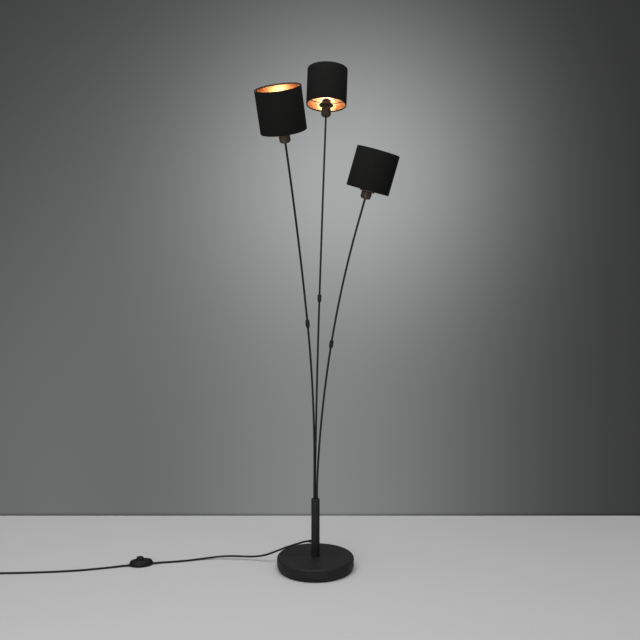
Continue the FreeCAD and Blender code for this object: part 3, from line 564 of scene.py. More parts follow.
@dataclass(frozen=True)
class Coating:
    """A coated, moulded or cast surface: its grain, its patches and the little dust on it."""

    name: str
    colour: Point
    roughness: float
    uneven: float
    grain: float
    bump: float
    depth: float = 0.00006
    metallic: float = 0.0
    specular: float = 0.5
    dust: float = 0.04
    contrast: float = 0.25
    patches: float = 22.0
    dust_colour: Point = (0.32, 0.31, 0.29)

    def make(self) -> Material:
        """Builds the material.

        Returns:
            The material.
        """
        material, wire, shader = new_material(self.name)
        place = wire.add("ShaderNodeTexCoord").outputs["Object"]
        grain = wire.group(GRAIN, Vector=place, Grain=self.grain, Patches=self.patches)
        dust = wire.group(DUST, Vector=place, Amount=self.dust)
        scales = (1 - self.contrast, 1 + self.contrast)
        dark, light = ((*(min(c * scale, 1.0) for c in self.colour), 1.0) for scale in scales)
        plain = wire.blend(grain["Patch"], dark, light)
        low, high = self.roughness - self.uneven, self.roughness + self.uneven
        surface = {
            "Base Color": wire.blend(dust["Mask"], plain, (*self.dust_colour, 1.0)),
            "Roughness": wire.remap(grain["Speck"], 0.25, 0.75, low, high),
            "Normal": wire.bump(grain["Height"], self.bump, self.depth),
            "Metallic": self.metallic,
            "Specular IOR Level": self.specular,
        }
        wire.fill(shader, surface)
        return material


@dataclass(frozen=True)
class WovenCloth:
    """Black shade cloth: a fine plain weave with slubs, matt with a slight sheen."""

    name: str = "BlackShadeCloth"
    warp: Point = (0.0072, 0.0072, 0.007)
    weft: Point = (0.0145, 0.0143, 0.0138)
    low_roughness: float = 0.72
    high_roughness: float = 0.9
    thread_height: float = 0.00012
    sheen: float = 0.005
    specular: float = 0.02

    def make(self) -> Material:
        """Builds the material.

        Returns:
            The material.
        """
        material, wire, shader = new_material(self.name)
        weave = wire.group(WEAVE, Map=round_map(wire), Threads=THREADS_PER_METRE)
        tone = wire.maths("MULTIPLY_ADD", weave["Slub"], 0.5, wire.maths("MULTIPLY", weave["Crown"], 0.5))
        surface = {
            "Base Color": wire.blend(tone, (*self.warp, 1.0), (*self.weft, 1.0)),
            "Roughness": wire.remap(weave["Crown"], 0.0, 1.0, self.high_roughness, self.low_roughness),
            "Normal": wire.bump(weave["Crown"], 0.35, self.thread_height),
            "Sheen Weight": self.sheen,
            "Specular IOR Level": self.specular,
        }
        wire.fill(shader, surface)
        return material


@dataclass(frozen=True)
class GoldFoil:
    """Satin gold film on a shade's inside, with the faint cross-hatch of the cloth behind it."""

    name: str = "GoldFoil"
    pale: Point = (0.94, 0.67, 0.45)
    deep: Point = (0.86, 0.55, 0.33)
    ripples: float = 45.0
    low_roughness: float = 0.25
    high_roughness: float = 0.34
    ripple_height: float = 0.0008

    def make(self) -> Material:
        """Builds the material.

        Returns:
            The material.
        """
        material, wire, shader = new_material(self.name)
        spot = round_map(wire)
        weave = wire.group(WEAVE, Map=spot, Threads=THREADS_PER_METRE)
        ripple = wire.noise(spot, self.ripples, 3.0)
        height = wire.maths("MULTIPLY_ADD", weave["Crown"], 0.15, ripple)
        surface = {
            "Base Color": wire.blend(ripple, (*self.deep, 1.0), (*self.pale, 1.0)),
            "Roughness": wire.remap(ripple, 0.3, 0.7, self.low_roughness, self.high_roughness),
            "Normal": wire.bump(height, 0.25, self.ripple_height),
            "Metallic": 1.0,
        }
        wire.fill(shader, surface)
        return material


@dataclass(frozen=True)
class LitGlass:
    """A lit frosted bulb: it glows warm, and fainter next to its cap."""

    name: str = "LitBulbGlass"
    glow: Point = (1.0, 0.81, 0.55)
    faint: Point = (0.55, 0.26, 0.08)
    strength: float = 7.5
    faint_end: float = 0.02
    body: Point = (0.9, 0.86, 0.78)

    def make(self) -> Material:
        """Builds the material.

        Returns:
            The material.
        """
        material, wire, shader = new_material(self.name)
        spot = round_map(wire)
        rise = wire.remap(wire.split(spot)[1], 0.0, self.faint_end, 0.0, 1.0)
        cloud = wire.remap(wire.noise(spot, 60.0, 2.0), 0.2, 0.8, 0.85, 1.0)
        share = wire.maths("MULTIPLY", rise, cloud)
        surface = {
            "Emission Color": wire.blend(share, (*self.faint, 1.0), (*self.glow, 1.0)),
            "Emission Strength": self.strength,
            "Base Color": (*self.body, 1.0),
            "Roughness": 0.2,
        }
        wire.fill(shader, surface)
        return material


def made(name: str, colour: Point, *values: float, **more: float) -> Material:
    """A field that holds a coating's material, made when the finishes are."""
    return field(default_factory=Coating(name, colour, *values, **more).make)


@dataclass
class Finishes:
    """Every finish of the lamp, each built once."""

    # name, colour, roughness and its spread, grain per metre, bump and its depth in metres
    steel: Material = made(
        "BlackPowderCoat", (0.0115, 0.0115, 0.0118), 0.56, 0.07, 1700.0, 0.2, specular=0.2, dust=0.012
    )
    arm: Material = made(
        "BlackArmPaint", (0.007, 0.007, 0.0068), 0.4, 0.05, 2600.0, 0.05, specular=0.24, dust=0.0
    )
    bronze: Material = made(
        "DarkBronze", (0.042, 0.034, 0.025), 0.42, 0.06, 2200.0, 0.06, specular=0.25, dust=0.0
    )
    plastic: Material = made(
        "BlackPlastic", (0.006, 0.006, 0.006), 0.42, 0.06, 3000.0, 0.08, specular=0.2, dust=0.004
    )
    sheath: Material = made(
        "CordSheath", (0.007, 0.007, 0.007), 0.5, 0.05, 2600.0, 0.05, specular=0.22, dust=0.006
    )
    iron: Material = made("RoughIron", (0.09, 0.088, 0.085), 0.7, 0.1, 500.0, 0.6, 0.0004)
    foam: Material = made("FoamPad", (0.04, 0.04, 0.04), 0.9, 0.05, 900.0, 0.8, 0.0005)
    zinc: Material = made("ZincPlate", (0.55, 0.55, 0.52), 0.35, 0.08, 1200.0, 0.1, metallic=1.0, dust=0.0)
    ceramic: Material = made("PalePlastic", (0.66, 0.65, 0.6), 0.5, 0.05, 1800.0, 0.1)
    bulb_metal: Material = made(
        "BulbCapMetal", (0.75, 0.68, 0.58), 0.3, 0.08, 900.0, 0.1, metallic=1.0, dust=0.0
    )
    pins: Material = made("NickelPins", (0.66, 0.62, 0.54), 0.22, 0.05, 1500.0, 0.05, metallic=1.0, dust=0.0)
    wire: Material = made("FrameWirePaint", (0.03, 0.026, 0.02), 0.4, 0.05, 2400.0, 0.05, dust=0.0)
    cloth: Material = field(default_factory=WovenCloth().make)
    foil: Material = field(default_factory=GoldFoil().make)
    glow: Material = field(default_factory=LitGlass().make)


# ------------------------------------------------------------------ repeats made with Geometry Nodes


class Repeater:
    """Geometry Nodes trees for what repeats: ribs on a circle, bars in a row and screw threads."""

    def __init__(self) -> None:
        """Builds the three trees."""
        self.ribs = self._ribs()
        self.bars = self._bars()
        self.thread = self._thread()

    @staticmethod
    def _tree(name: str, sizes: Mapping[str, str]) -> tuple[Wiring, Sequence[Socket]]:
        """A geometry tree with named inputs, the last of them its finish, and a mesh output."""
        return new_tree(name, "GeometryNodeTree", {**sizes, "Finish": "Material"}, {"Mesh": "Geometry"})

    @staticmethod
    def _end(wire: Wiring, mesh: Socket, material: Socket) -> Tree:
        """Realizes the repeats and gives them their material.

        Args:
            wire: the tree's wiring.
            mesh: the repeats.
            material: their material.

        Returns:
            The tree.
        """
        real = wire.add("GeometryNodeRealizeInstances", {0: mesh}).outputs[0]
        dressed = wire.add("GeometryNodeSetMaterial", {"Geometry": real, "Material": material}).outputs[0]
        wire.add("NodeGroupOutput", {0: dressed})
        return wire.tree

    def _posts(self, wire: Wiring, points: Socket, sides: int, given: Sequence[Socket]) -> Tree:
        """Stands a cylinder on every point.

        Args:
            wire: the tree's wiring.
            points: the points.
            sides: faces round a cylinder.
            given: the tree's inputs, with the cylinders' radius, height and material from the third on.

        Returns:
            The tree.
        """
        sizes = {"Vertices": sides, "Radius": given[2], "Depth": given[3]}
        post = wire.add("GeometryNodeMeshCylinder", sizes).outputs[0]
        placed = wire.add("GeometryNodeInstanceOnPoints", {"Points": points, "Instance": post})
        return self._end(wire, placed.outputs[0], given[4])

    def _ribs(self) -> Tree:
        """Upright half-round ribs on a circle.

        Returns:
            The tree.
        """
        sizes = {"Count": "Int", "Radius": "Float", "Thickness": "Float", "Height": "Float"}
        wire, given = self._tree("RibsOnCircle", sizes)
        ring = wire.add("GeometryNodeMeshCircle", {"Vertices": given[0], "Radius": given[1]})
        return self._posts(wire, ring.outputs[0], 10, given)

    def _bars(self) -> Tree:
        """Round bars along Z, side by side in a row.

        Returns:
            The tree.
        """
        sizes = {"Count": "Int", "Spacing": "Vector", "Thickness": "Float", "Length": "Float"}
        wire, given = self._tree("BarsInRow", sizes)
        row = wire.add("GeometryNodeMeshLine", {"Count": given[0], "Offset": given[1]})
        return self._posts(wire, row.outputs[0], 12, given)

    def _thread(self) -> Tree:
        """A round ridge that winds up a cylinder.

        Returns:
            The tree.
        """
        sizes = dict.fromkeys(("Turns", "Radius", "Ridge", "Height"), "Float")
        wire, given = self._tree("ThreadRidge", sizes)
        turns, radius, ridge, height = given[:4]
        winding = {"Rotations": turns, "Start Radius": radius, "End Radius": radius, "Height": height}
        spiral = wire.add("GeometryNodeCurveSpiral", {"Resolution": 48, **winding})
        ring = wire.add("GeometryNodeCurvePrimitiveCircle", {"Resolution": 8, "Radius": ridge})
        sweep = {"Curve": spiral.outputs[0], "Profile Curve": ring.outputs[0], "Fill Caps": True}
        return self._end(wire, wire.add("GeometryNodeCurveToMesh", sweep).outputs[0], given[4])

    def build(self, tree: Tree, name: str, place: Matrix, *values: object) -> Piece:
        """Runs a tree once and keeps its result as a plain mesh.

        Args:
            tree: the geometry tree.
            name: the piece's name.
            place: where its result stands.
            values: its inputs in order, the last one the material.

        Returns:
            The piece.
        """
        seed = bpy.data.objects.new(name + "_seed", bpy.data.meshes.new(name + "_seed"))
        bpy.context.scene.collection.objects.link(seed)
        modifier = seed.modifiers.new("Repeat", "NODES")
        modifier.node_group = tree
        sockets = [s for s in tree.interface.items_tree if s.in_out == "INPUT"]
        for socket, value in zip(sockets, values):
            modifier[socket.identifier] = value
        depsgraph = bpy.context.evaluated_depsgraph_get()
        mesh = bpy.data.meshes.new_from_object(seed.evaluated_get(depsgraph))
        bpy.data.objects.remove(seed)
        mesh.transform(place @ Matrix.Scale(MM, 4))
        mesh.name = name
        for polygon in mesh.polygons:
            polygon.use_smooth = True
        return as_object(name, mesh, values[-1])


# ------------------------------------------------------------------ sub-assemblies


def dress(material: Material, *nodes: str) -> None:
    """Gives CAD nodes their finish."""
    for slot in (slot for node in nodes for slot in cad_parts[node].material_slots):
        slot.material = material


def settle(piece: Piece, body: str, slot: str, *nodes: str) -> Piece:
    """Makes a piece ride on a body in place of CAD nodes.

    Args:
        piece: the piece.
        body: the body that it rides on.
        slot: not used.
        nodes: the nodes that it stands for.

    Returns:
        The piece.
    """
    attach(piece, body)
    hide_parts(*nodes)
    LOG.info("%s rides on %s", piece.name, body)
    return piece


@dataclass
class Stage:
    """Pale floor, grey wall, soft studio light and the camera, in metres."""

    wall_y: float = 0.496
    half_width: float = 6.0
    front: float = 7.0
    wall_height: float = 5.0
    floor_grey: float = 0.535
    camera_at: Point = (0.0135, -2.85, 1.11)
    pitch_down: float = 7.17
    focal: float = 55.6875
    film_width: float = 36.0
    sight: float = 50.0
    wall_tint: Point = (0.976, 1.008, 0.993)
    wall_least: float = 0.0297
    # x, z, width, height and strength of each patch of light painted on the wall; the last, with a strength
    # below 0, is painted shade
    wall_lobes: Profile = (
        (0.129, 1.205, 0.333, 0.340, 0.2815),
        (-0.387, 0.006, 0.597, 0.900, 0.331),
        (-0.502, 0.046, 0.361, 0.649, -0.2),
    )

    def camera(self) -> None:
        """Puts the camera where the photograph was taken from."""
        data = bpy.data.cameras.new("Camera")
        data.lens, data.sensor_width, data.clip_end = self.focal, self.film_width, self.sight
        camera = bpy.data.objects.new("Camera", data)
        camera.location = self.camera_at
        camera.rotation_euler = (math.radians(90 - self.pitch_down), 0.0, 0.0)
        bpy.context.scene.collection.objects.link(camera)
        bpy.context.scene.camera = camera

    def _slab(
        self, name: str, near: tuple[float, float], far: tuple[float, float], material: Material
    ) -> None:
        """A flat piece of the stage that is clear from behind, so that no view is hidden by it.

        Args:
            name: the piece's name.
            near: y and z of its near edge.
            far: y and z of its far edge.
            material: its finish.
        """
        wire = Wiring(material.node_tree)
        surface = material.node_tree.get_output_node("ALL").inputs["Surface"]
        front = surface.links[0].from_socket
        clear = wire.add("ShaderNodeBsdfTransparent").outputs[0]
        back = wire.add("ShaderNodeNewGeometry").outputs["Backfacing"]
        mixed = wire.add("ShaderNodeMixShader", {0: back, 1: front, 2: clear})
        material.node_tree.links.new(mixed.outputs[0], surface)
        mesh = bpy.data.meshes.new(name)
        x = self.half_width
        mesh.from_pydata([(-x, *near), (x, *near), (x, *far), (-x, *far)], [], [(0, 1, 2, 3)])
        as_object(name, mesh, material)

    def floor(self) -> None:
        """The floor: pale, faintly uneven, and it takes the lamp's shadow."""
        material, wire, shader = new_material("PaleFloor")
        cloud = wire.noise(wire.add("ShaderNodeTexCoord").outputs["Object"], 1.4, 2.0)
        low, high = ((self.floor_grey * share,) * 3 + (1.0,) for share in (0.98, 1.02))
        tone = wire.blend(cloud, low, high)
        wire.fill(shader, {"Base Color": tone, "Roughness": 0.8, "Specular IOR Level": 0.15})
        self._slab("Floor", (-self.front, 0), (self.wall_y, 0), material)

    def wall(self) -> None:
        """The wall: grey, with a painted pool of light behind the lamp as a spotlight leaves it, and painted
        shade along its foot.
        """
        material, wire, _ = new_material("GreyWall")
        wire.tree.nodes.clear()
        spot = wire.split(wire.add("ShaderNodeTexCoord").outputs["Object"])
        total: object = self.wall_least
        for x, z, wide, tall, gain in self.wall_lobes:
            across = wire.maths("DIVIDE", wire.maths("SUBTRACT", spot[0], x), wide)
            along = wire.maths("DIVIDE", wire.maths("SUBTRACT", spot[2], z), tall)
            square = wire.maths("ADD", *(wire.maths("MULTIPLY", way, way) for way in (across, along)))
            fall = wire.maths("EXPONENT", wire.maths("MULTIPLY", square, -0.5))
            total = wire.maths("ADD", total, wire.maths("MULTIPLY", fall, gain))
        # painted shade: the wall's glow is dimmed along its foot, where it meets the floor
        painted_foot_shade = wire.remap(spot[2], 0.002, 0.012, 0.55, 1.0)
        glow = {"Color": (*self.wall_tint, 1.0), "Strength": wire.maths("MULTIPLY", total, painted_foot_shade)}
        wire.add("ShaderNodeOutputMaterial", {0: wire.add("ShaderNodeEmission", glow).outputs[0]})
        self._slab("Wall", (self.wall_y, 0), (self.wall_y, self.wall_height), material)

    def lights(self) -> None:
        """A broad lamp overhead, a weaker one in front, and a sky that is brighter above."""
        lamps = (
            ("OverheadLight", (-0.2, -0.9, 3.3), 2.6, 66.0, (0, -0.2, 0)),
            ("FrontLight", (-1.0, -3.0, 1.0), 1.6, 30.0, (0, 0, 1.1)),
        )
        for name, spot, size, power, aim in lamps:
            data = bpy.data.lights.new(name, "AREA")
            data.size, data.energy = size, power
            lamp = bpy.data.objects.new(name, data)
            lamp.location = spot
            lamp.rotation_euler = (Vector(aim) - Vector(spot)).to_track_quat("-Z", "Y").to_euler()
            bpy.context.scene.collection.objects.link(lamp)
        world = bpy.data.worlds.new("World")
        world.use_nodes = True
        wire = Wiring(world.node_tree)
        rise = wire.split(wire.add("ShaderNodeTexCoord").outputs["Generated"])[2]
        sky = {0: (1, 1, 1, 1), 1: wire.remap(rise, 0.0, 0.8, 0.14, 0.6)}
        wire.fill(world.node_tree.nodes["Background"], sky)
        bpy.context.scene.world = world

    def build(self) -> None:
        """Builds the floor, the wall and the lights."""
        self.floor()
        self.wall()
        self.lights()
        bpy.context.scene.view_settings.view_transform = "Standard"


@dataclass
class MainsCord:
    """The cord from the column to the foot switch, and from there to its coil and plug."""

    finishes: Finishes
    diameter: float = 6.0
    to_switch: Sequence[Point] = (
        (-21.13, 27.05, 76.15), (-27.4, 35.6, 72.8), (-36.0, 43.0, 68.6), (-50.0, 48.0, 62.2),
        (-70.0, 49.5, 55.6), (-96.0, 48.5, 46.8), (-124.0, 50.5, 34.6), (-151.0, 58.0, 21.5),
        (-180.0, 67.0, 13.3), (-214.0, 74.5, 10.2), (-252.0, 78.5, 10.8), (-291.0, 80.0, 9.0),
        (-327.0, 77.5, 5.2), (-359.0, 70.5, 3.5), (-388.0, 60.5, 3.3), (-416.0, 53.5, 3.15),
        (-446.0, 47.5, 3.3), (-470.0, 41.8, 4.0), (-491.0, 35.45, 4.4),
    )
    to_coil: Sequence[Point] = (
        (-562.8, 17.55, 4.4), (-581.0, 14.0, 4.0), (-604.0, 7.0, 3.2), (-640.0, -4.0, 3.3),
        (-688.0, -17.0, 3.15), (-740.0, -26.5, 3.3), (-795.0, -33.5, 3.15), (-850.0, -38.5, 3.3),
        (-902.0, -41.5, 3.15), (-948.0, -42.6, 3.3), (-978.0, -42.0, 3.05), (-998.0, -42.0, 3.1),
        (-1004.0, -42.0, 3.1),
    )
    coil_radius: float = 40.0
    coil_turns: float = 5.0
    coil_height: float = 3.1
    turn_pitch: float = 6.6
    layer_pitch: float = 6.6
    climb: float = 0.5
    tail: float = 46.0
    plug_axis: float = 7.0

    def coil_point(self, turn: float) -> tuple[float, float, float]:
        """A point of the coil: in on the floor, up where it reverses, and out on top.

        Args:
            turn: how many turns from its start.

        Returns:
            The radius, the angle in radians and the height.
        """
        flat = (self.coil_turns - self.climb) / 2
        inner = self.coil_radius - self.turn_pitch * flat
        if turn <= flat:
            radius, height = self.coil_radius - self.turn_pitch * turn, 0.0
        elif turn <= flat + self.climb:
            share = (turn - flat) / self.climb
            radius = inner - self.turn_pitch * self.climb * share * (1 - share)
            height = share * share * (3 - 2 * share)
        else:
            radius, height = inner + self.turn_pitch * (turn - flat - self.climb), 1.0
        return radius, math.pi / 2 + math.tau * turn, self.coil_height + self.layer_pitch * height

    def coil_route(self, per_turn: int = 16) -> list[Point]:
        """The coil's control points, each a little outside its turn, and the tail down to the plug.

        Args:
            per_turn: points in each turn.

        Returns:
            The points.
        """
        x, y = self.to_coil[-1][0], self.to_coil[-1][1] - self.coil_radius
        outside = 1 / math.cos(math.pi / per_turn) ** 0.5
        last = round(self.coil_turns * per_turn)
        points = []
        for step in range(1, last + 1):
            radius, angle, z = self.coil_point(step / per_turn)
            if step < last:
                radius *= outside
            points.append((x + radius * math.cos(angle), y + radius * math.sin(angle), z))
        x, y, z = points[-1]
        for share, fallen in ((0.3, 0.15), (0.7, 0.85), (1.0, 1.0)):
            points.append((x - self.tail * share, y, z - (z - self.plug_axis) * fallen))
        points.append((x - self.tail - self.diameter, y, self.plug_axis))
        return points

    def _curve(self, name: str, points: Sequence[Point]) -> Piece:
        """A smooth round cord through a row of control points.

        Args:
            name: the cord's name.
            points: its control points.

        Returns:
            The curve.
        """
        curve = bpy.data.curves.new(name, "CURVE")
        curve.dimensions = "3D"
        curve.bevel_depth = self.diameter * MM / 2
        curve.bevel_resolution = 4
        curve.use_fill_caps = True
        curve.resolution_u = 6
        spline = curve.splines.new("NURBS")
        spline.points.add(len(points) - 1)
        for slot, point in zip(spline.points, points):
            slot.co = (*(c * MM for c in point), 1.0)
        spline.order_u = 3
        spline.use_endpoint_u = True
        curve.materials.append(self.finishes.sheath)
        obj = bpy.data.objects.new(name, curve)
        bpy.context.scene.collection.objects.link(obj)
        return obj

    def build(self, switch: Sequence[Piece], plug: Sequence[Piece]) -> None:
        """Lays both cords.

        Args:
            switch: not used.
            plug: not used.
        """
        first = self._curve("CordToSwitch", self.to_switch)
        settle(first, "stand", "cord_sheath", "cord_to_switch")
        second = self._curve("CordToPlug", [*self.to_coil, *self.coil_route()])
        settle(second, "stand", "cord_sheath", "cord_to_coil", "cord_coil")


@dataclass
class ArmLine:
    """One arm's centre line: a plumb stub, two arcs that meet in the coupler, and a neck."""

    side: Side
    azimuth: float
    leans: Point
    lower: float
    upper: float
    hole_azimuth: float
    shade_seat: float
    spoke_turn: float = 90.0
    column_top: float = 217.0
    stub: float = 45.0
    circle: float = 5.0
    bend_height: float = 75.0
    neck: float = 62.0

    def named(self, piece: str) -> str:
        """A name on this arm's side."""
        return f"{self.side.value}_{piece}"

    def root(self, height: float) -> Matrix:
        """The stub's frame at a height."""
        return spin(self.hole_azimuth) @ move(self.circle, 0, height) @ spin(self.azimuth - self.hole_azimuth)

    def place(self, lower: float, upper: float = 0.0) -> Matrix:
        """The frame at a distance along the lower arc, and then along the upper one.

        Args:
            lower: the distance on the lower arc.
            upper: the distance on the upper arc.

        Returns:
            The frame.
        """
        first, middle, last = self.leans
        start = self.root(self.column_top + self.stub) @ spin(first, "Y")
        first_arc = along_arc(lower, self.lower, middle - first)
        return start @ first_arc @ along_arc(upper, self.upper, last - middle)

    def above(self, distance: float) -> Matrix:
        """The frame at a distance above the coupler's middle, along the arc and then the neck."""
        straight = max(distance - self.upper, 0.0)
        return self.place(self.lower, distance - straight) @ move(z=straight)


# side, azimuth, leans, lower and upper length, azimuth of the hole, seat of the shade and turn of its spokes
ARMS = (
    ArmLine(Side.LEFT, -114.5, (-2.0, 12.5, 17.4), 487.0, 460.0, -135.0, 32.3),
    ArmLine(Side.REAR, 82.5, (6.5, 14.5, 16.3), 552.0, 505.0, 105.0, 38.2, 130.0),
    ArmLine(Side.RIGHT, -1.0, (2.3, 9.0, 15.7), 421.0, 368.0, -15.0, 25.5),
)


@dataclass
class BendableArm:
    """One arm: a lower and an upper tube that bend along their length, joined by a turned coupler."""

    line: ArmLine
    finishes: Finishes
    radius: float = 3.0
    step: float = 8.0
    root_reach: float = 42.0
    bend_reach: float = 58.0
    neck_reach: float = 52.0
    coupler_gap: float = 0.2

    def _spread(self, start: float, end: float) -> list[float]:
        """Even distances from start to end."""
        count = max(2, math.ceil((end - start) / self.step))
        return [start + (end - start) * i / count for i in range(count + 1)]

    def _tube(
        self,
        piece: str,
        frames: Sequence[Matrix],
        bodies: Sequence[str],
        ends: Sequence[Vector],
        *nodes: str,
    ) -> None:
        """A tube through a row of frames, between the places of two bodies.

        Args:
            piece: the tube's name.
            frames: where its rings stand.
            bodies: the names of the two bodies, which only go to the log.
            ends: not used.
            nodes: the nodes that it stands for.
        """
        named = self.line.named
        tube = tube_along(named(piece), frames, self.radius, self.finishes.arm)
        named(bodies[0])
        named(bodies[1])
        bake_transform(tube)
        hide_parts(*map(named, nodes))
        LOG.info("%s bends from %s to %s", tube.name, *bodies)

    def _around(self, middle: float, reach: float) -> list[Vector]:
        """The points before and after a distance above the coupler."""
        return [self.line.above(middle + way * reach).translation for way in (-1, 1)]

    def lower_tube(self) -> None:
        """The lower tube: it turns at the cap and bends just above it."""
        line, top = self.line, self.line.column_top
        heights = [top - 21, top - 17, top, *(top + s for s in self._spread(6.0, line.stub - 4))]
        frames = [line.root(z) for z in heights]
        frames += [line.place(s) for s in self._spread(0.0, line.lower - self.coupler_gap)]
        below = (line.place(0.0) @ spin(-line.leans[0], "Y") @ move(z=-self.root_reach)).translation
        ends = (below, line.place(self.root_reach).translation)
        self._tube("lower_tube", frames, ("root", "lower_arm"), ends, "arm_root", "arm_lower")

    def upper_tube(self) -> None:
        """The upper tube in two halves: one from the coupler to the middle, one from there through the neck.
        """
        line = self.line
        middle = (line.bend_height + line.upper) / 2
        frames = [line.above(s) for s in self._spread(self.coupler_gap, middle)]
        ends = self._around(line.bend_height, self.bend_reach)
        self._tube("upper_tube", frames, ("lower_arm", "upper_arm"), ends, "arm_middle", "arm_upper")
        frames = [line.above(s) for s in self._spread(middle, line.upper + line.neck + 8)]
        ends = self._around(line.upper, self.neck_reach)
        self._tube("neck_tube", frames, ("upper_arm", "head"), ends, "arm_neck")

    def coupler(self) -> None:
        """The turned coupler: tapered tips, a waist groove and softened edges."""
        line = self.line
        low = [(3.05, -11.5), (4.2, -11.5, 0.4), (6, -5.5, 1), (6, -0.6, 0.1), (5.7, -0.3)]
        high = [(5.7, 0.3), (6, 0.6, 0.1), (6, 9.5, 0.8), (4.2, 11.5, 0.4), (3.05, 11.5)]
        outline, spot = rounded(low + high, steps=3), line.place(line.lower)
        piece = lathe(line.named("arm_coupler"), outline, self.finishes.steel, spot, 48)
        settle(piece, line.named("lower_arm"), "black_steel", line.named("coupler"))

    def build(self) -> None:
        """Builds the arm."""
        self.lower_tube()
        self.upper_tube()
        self.coupler()


@dataclass
class LampHead:
    """One head: lampholder, lit bulb, and a cloth shade with foil lining on its wire frame."""

    line: ArmLine
    finishes: Finishes
    repeater: Repeater
    shade_radius: float = 62.5
    shade_height: float = 115.5
    cloth_thickness: float = 0.9
    holder_radius: float = 15.25
    thread_bore: float = 14.1
    wire_radius: float = 1.2
    spoke_count: int = 3
    bulb_bottom: float = 31.2
    bulb_radius: float = 17.5
    cap_height: float = 27.0
    # height and narrowing of the bulb's belly, and of its tip
    belly: tuple[float, float] = (28.0, 9.0)
    tip: tuple[float, float] = (38.0, 16.0)

    def __post_init__(self) -> None:
        """Finds where the neck enters the lampholder."""
        self.place = self.line.above(self.line.upper + self.line.neck)

    def _turned(
        self, piece: str, outline: Profile, finish: Material, around: int = 96, **more: float
    ) -> Piece:
        """Turns an outline about this head's axis."""
        return lathe(self.line.named(piece), outline, finish, self.place, around, **more)

    def _repeat(self, tree: Tree, piece: str, height: float, *values: object) -> Piece:
        """Runs a repeating tree at a height on this head's axis."""
        return self.repeater.build(tree, self.line.named(piece), self.place @ move(z=height), *values)

    def _keep(self, piece: Piece, slot: str, node: str) -> None:
        """Makes a piece ride on this head in place of a CAD node."""
        settle(piece, self.line.named("head"), slot, self.line.named(node))

    def _join(self, piece: str, parts: Sequence[Piece], slot: str, node: str) -> None:
        """Joins parts into one piece that rides on this head."""
        self._keep(join_pieces(self.line.named(piece), parts), slot, node)

    def holder(self) -> None:
        """The lampholder's rounded cap and its body with a thread on the upper part."""
        r, bronze, bore, seam, shoulder = self.holder_radius, self.finishes.bronze, 3.1, 13.9, 21
        cap = [(bore, 0), (6.2, 0, 0.6), (r, 0, 8.5), (r, seam - 0.2, 0.4)]
        cap += [(r - 0.6, seam), (r - 0.6, 14.2), (bore, 14.2)]
        piece = self._turned("lampholder_cap", rounded(cap, steps=10), bronze)
        self._keep(piece, "bronze_plastic", "holder_cap")
        outside = [(r - 0.8, seam), (r - 0.4, 14.3, 0.2), (r, 14.3, 0.4), (r, shoulder, 0.8)]
        outside += [(13.6, shoulder), (13.6, 53.6, 0.8)]
        inside = [(7.5, 53.6, 0.4), (7.5, 31), (0, 31), (0, seam)]
        shell = self._turned("lampholder_shell", rounded(outside + inside, steps=4), bronze)
        thread = self._repeat(self.repeater.thread, "shell_thread", 22.5, 12.0, 13.6, 0.5, 30.0, bronze)
        self._join("lampholder_body", [shell, thread], "bronze_plastic", "holder_body")

    def rings(self) -> None:
        """The collar under the shade's frame and the ribbed clamping ring over it."""
        seat, bore, bronze = self.line.shade_seat, self.thread_bore, self.finishes.bronze
        flare = [(20.5, seat - 4, 1.2), (22.5, seat - 2.2, 1), (22.5, seat - 0.2, 0.5)]
        collar = rounded([(bore, seat - 4), *flare, (bore, seat - 0.2)], steps=5)
        low, high, outer = seat + 1.6, seat + 6, 16.2
        ring = rounded([(bore, low), (outer, low, 0.3), (outer, high, 0.8), (bore, high, 0.3)], steps=3)
        ribs = self._repeat(self.repeater.ribs, "clamp_ribs", seat + 3.7, 28, 16.1, 0.4, 3.4, bronze)
        parts = [self._turned("collar", collar, bronze), self._turned("clamp", ring, bronze), ribs]
        self._join("shade_ring_pair", parts, "bronze_plastic", "shade_rings")

    def shade(self) -> None:
        """The cloth drum with its hems folded over the rims, and the foil inside."""
        out, low, high = self.shade_radius, self.line.shade_seat, self.line.shade_seat + self.shade_height
        inner, hem = out - self.cloth_thickness, 4.5
        fold = inner - 0.7
        outside = [(out, low, 0.7), (out, high, 0.7)]
        inside = [(fold, high, 0.7), (fold, high - hem, 0.3), (inner, high - hem)]
        inside += [(inner, low + hem), (fold, low + hem, 0.3), (fold, low, 0.7)]
        cloth = rounded(outside + inside, steps=4)
        drum = self._turned("shade_cloth", cloth, self.finishes.cloth, 160, map_radius=out)
        self._keep(drum, "black_fabric", "shade_fabric")
        outer, thin, edge = inner - 0.05, 0.4, 1.2
        painted_foot_shade, brim, back = low + edge, high - edge, outer - thin
        foil = [(outer, painted_foot_shade), (outer, brim), (back, brim), (back, painted_foot_shade)]
        lining = self._turned("foil_lining", foil, self.finishes.foil, 160, map_radius=out)
        self._keep(lining, "gold_foil", "shade_liner")

    def wires(self) -> None:
        """The frame: a plate under the clamping ring, spokes to the lower hoop, and the upper hoop."""
        seat, wire, paint = self.line.shade_seat, self.wire_radius, self.finishes.wire
        hoop, hole, edge, thick = self.shade_radius - 1.75 - wire, 14.3, 19, 1.6
        plate = [(hole, seat), (edge, seat, 0.3), (edge, seat + thick, 0.3), (hole, seat + thick)]
        parts = [self._turned("plate", rounded(plate, steps=2), paint, 64)]
        for height in (seat + wire, seat + self.shade_height - wire):
            section = [(hoop + x, height + y) for x, y in circle(wire, 12)]
            parts.append(self._turned("hoop", section, paint))
        for index in range(self.spoke_count):
            ray = self.place @ spin(self.line.spoke_turn + 360 * index / self.spoke_count)
            ends = [ray @ move(x, 0, seat + wire) @ spin(90, "Y") for x in (17.1, hoop)]
            parts.append(tube_along(self.line.named("spoke"), ends, wire, paint, 12))
        self._join("shade_wires", parts, "frame_wire", "shade_frame")

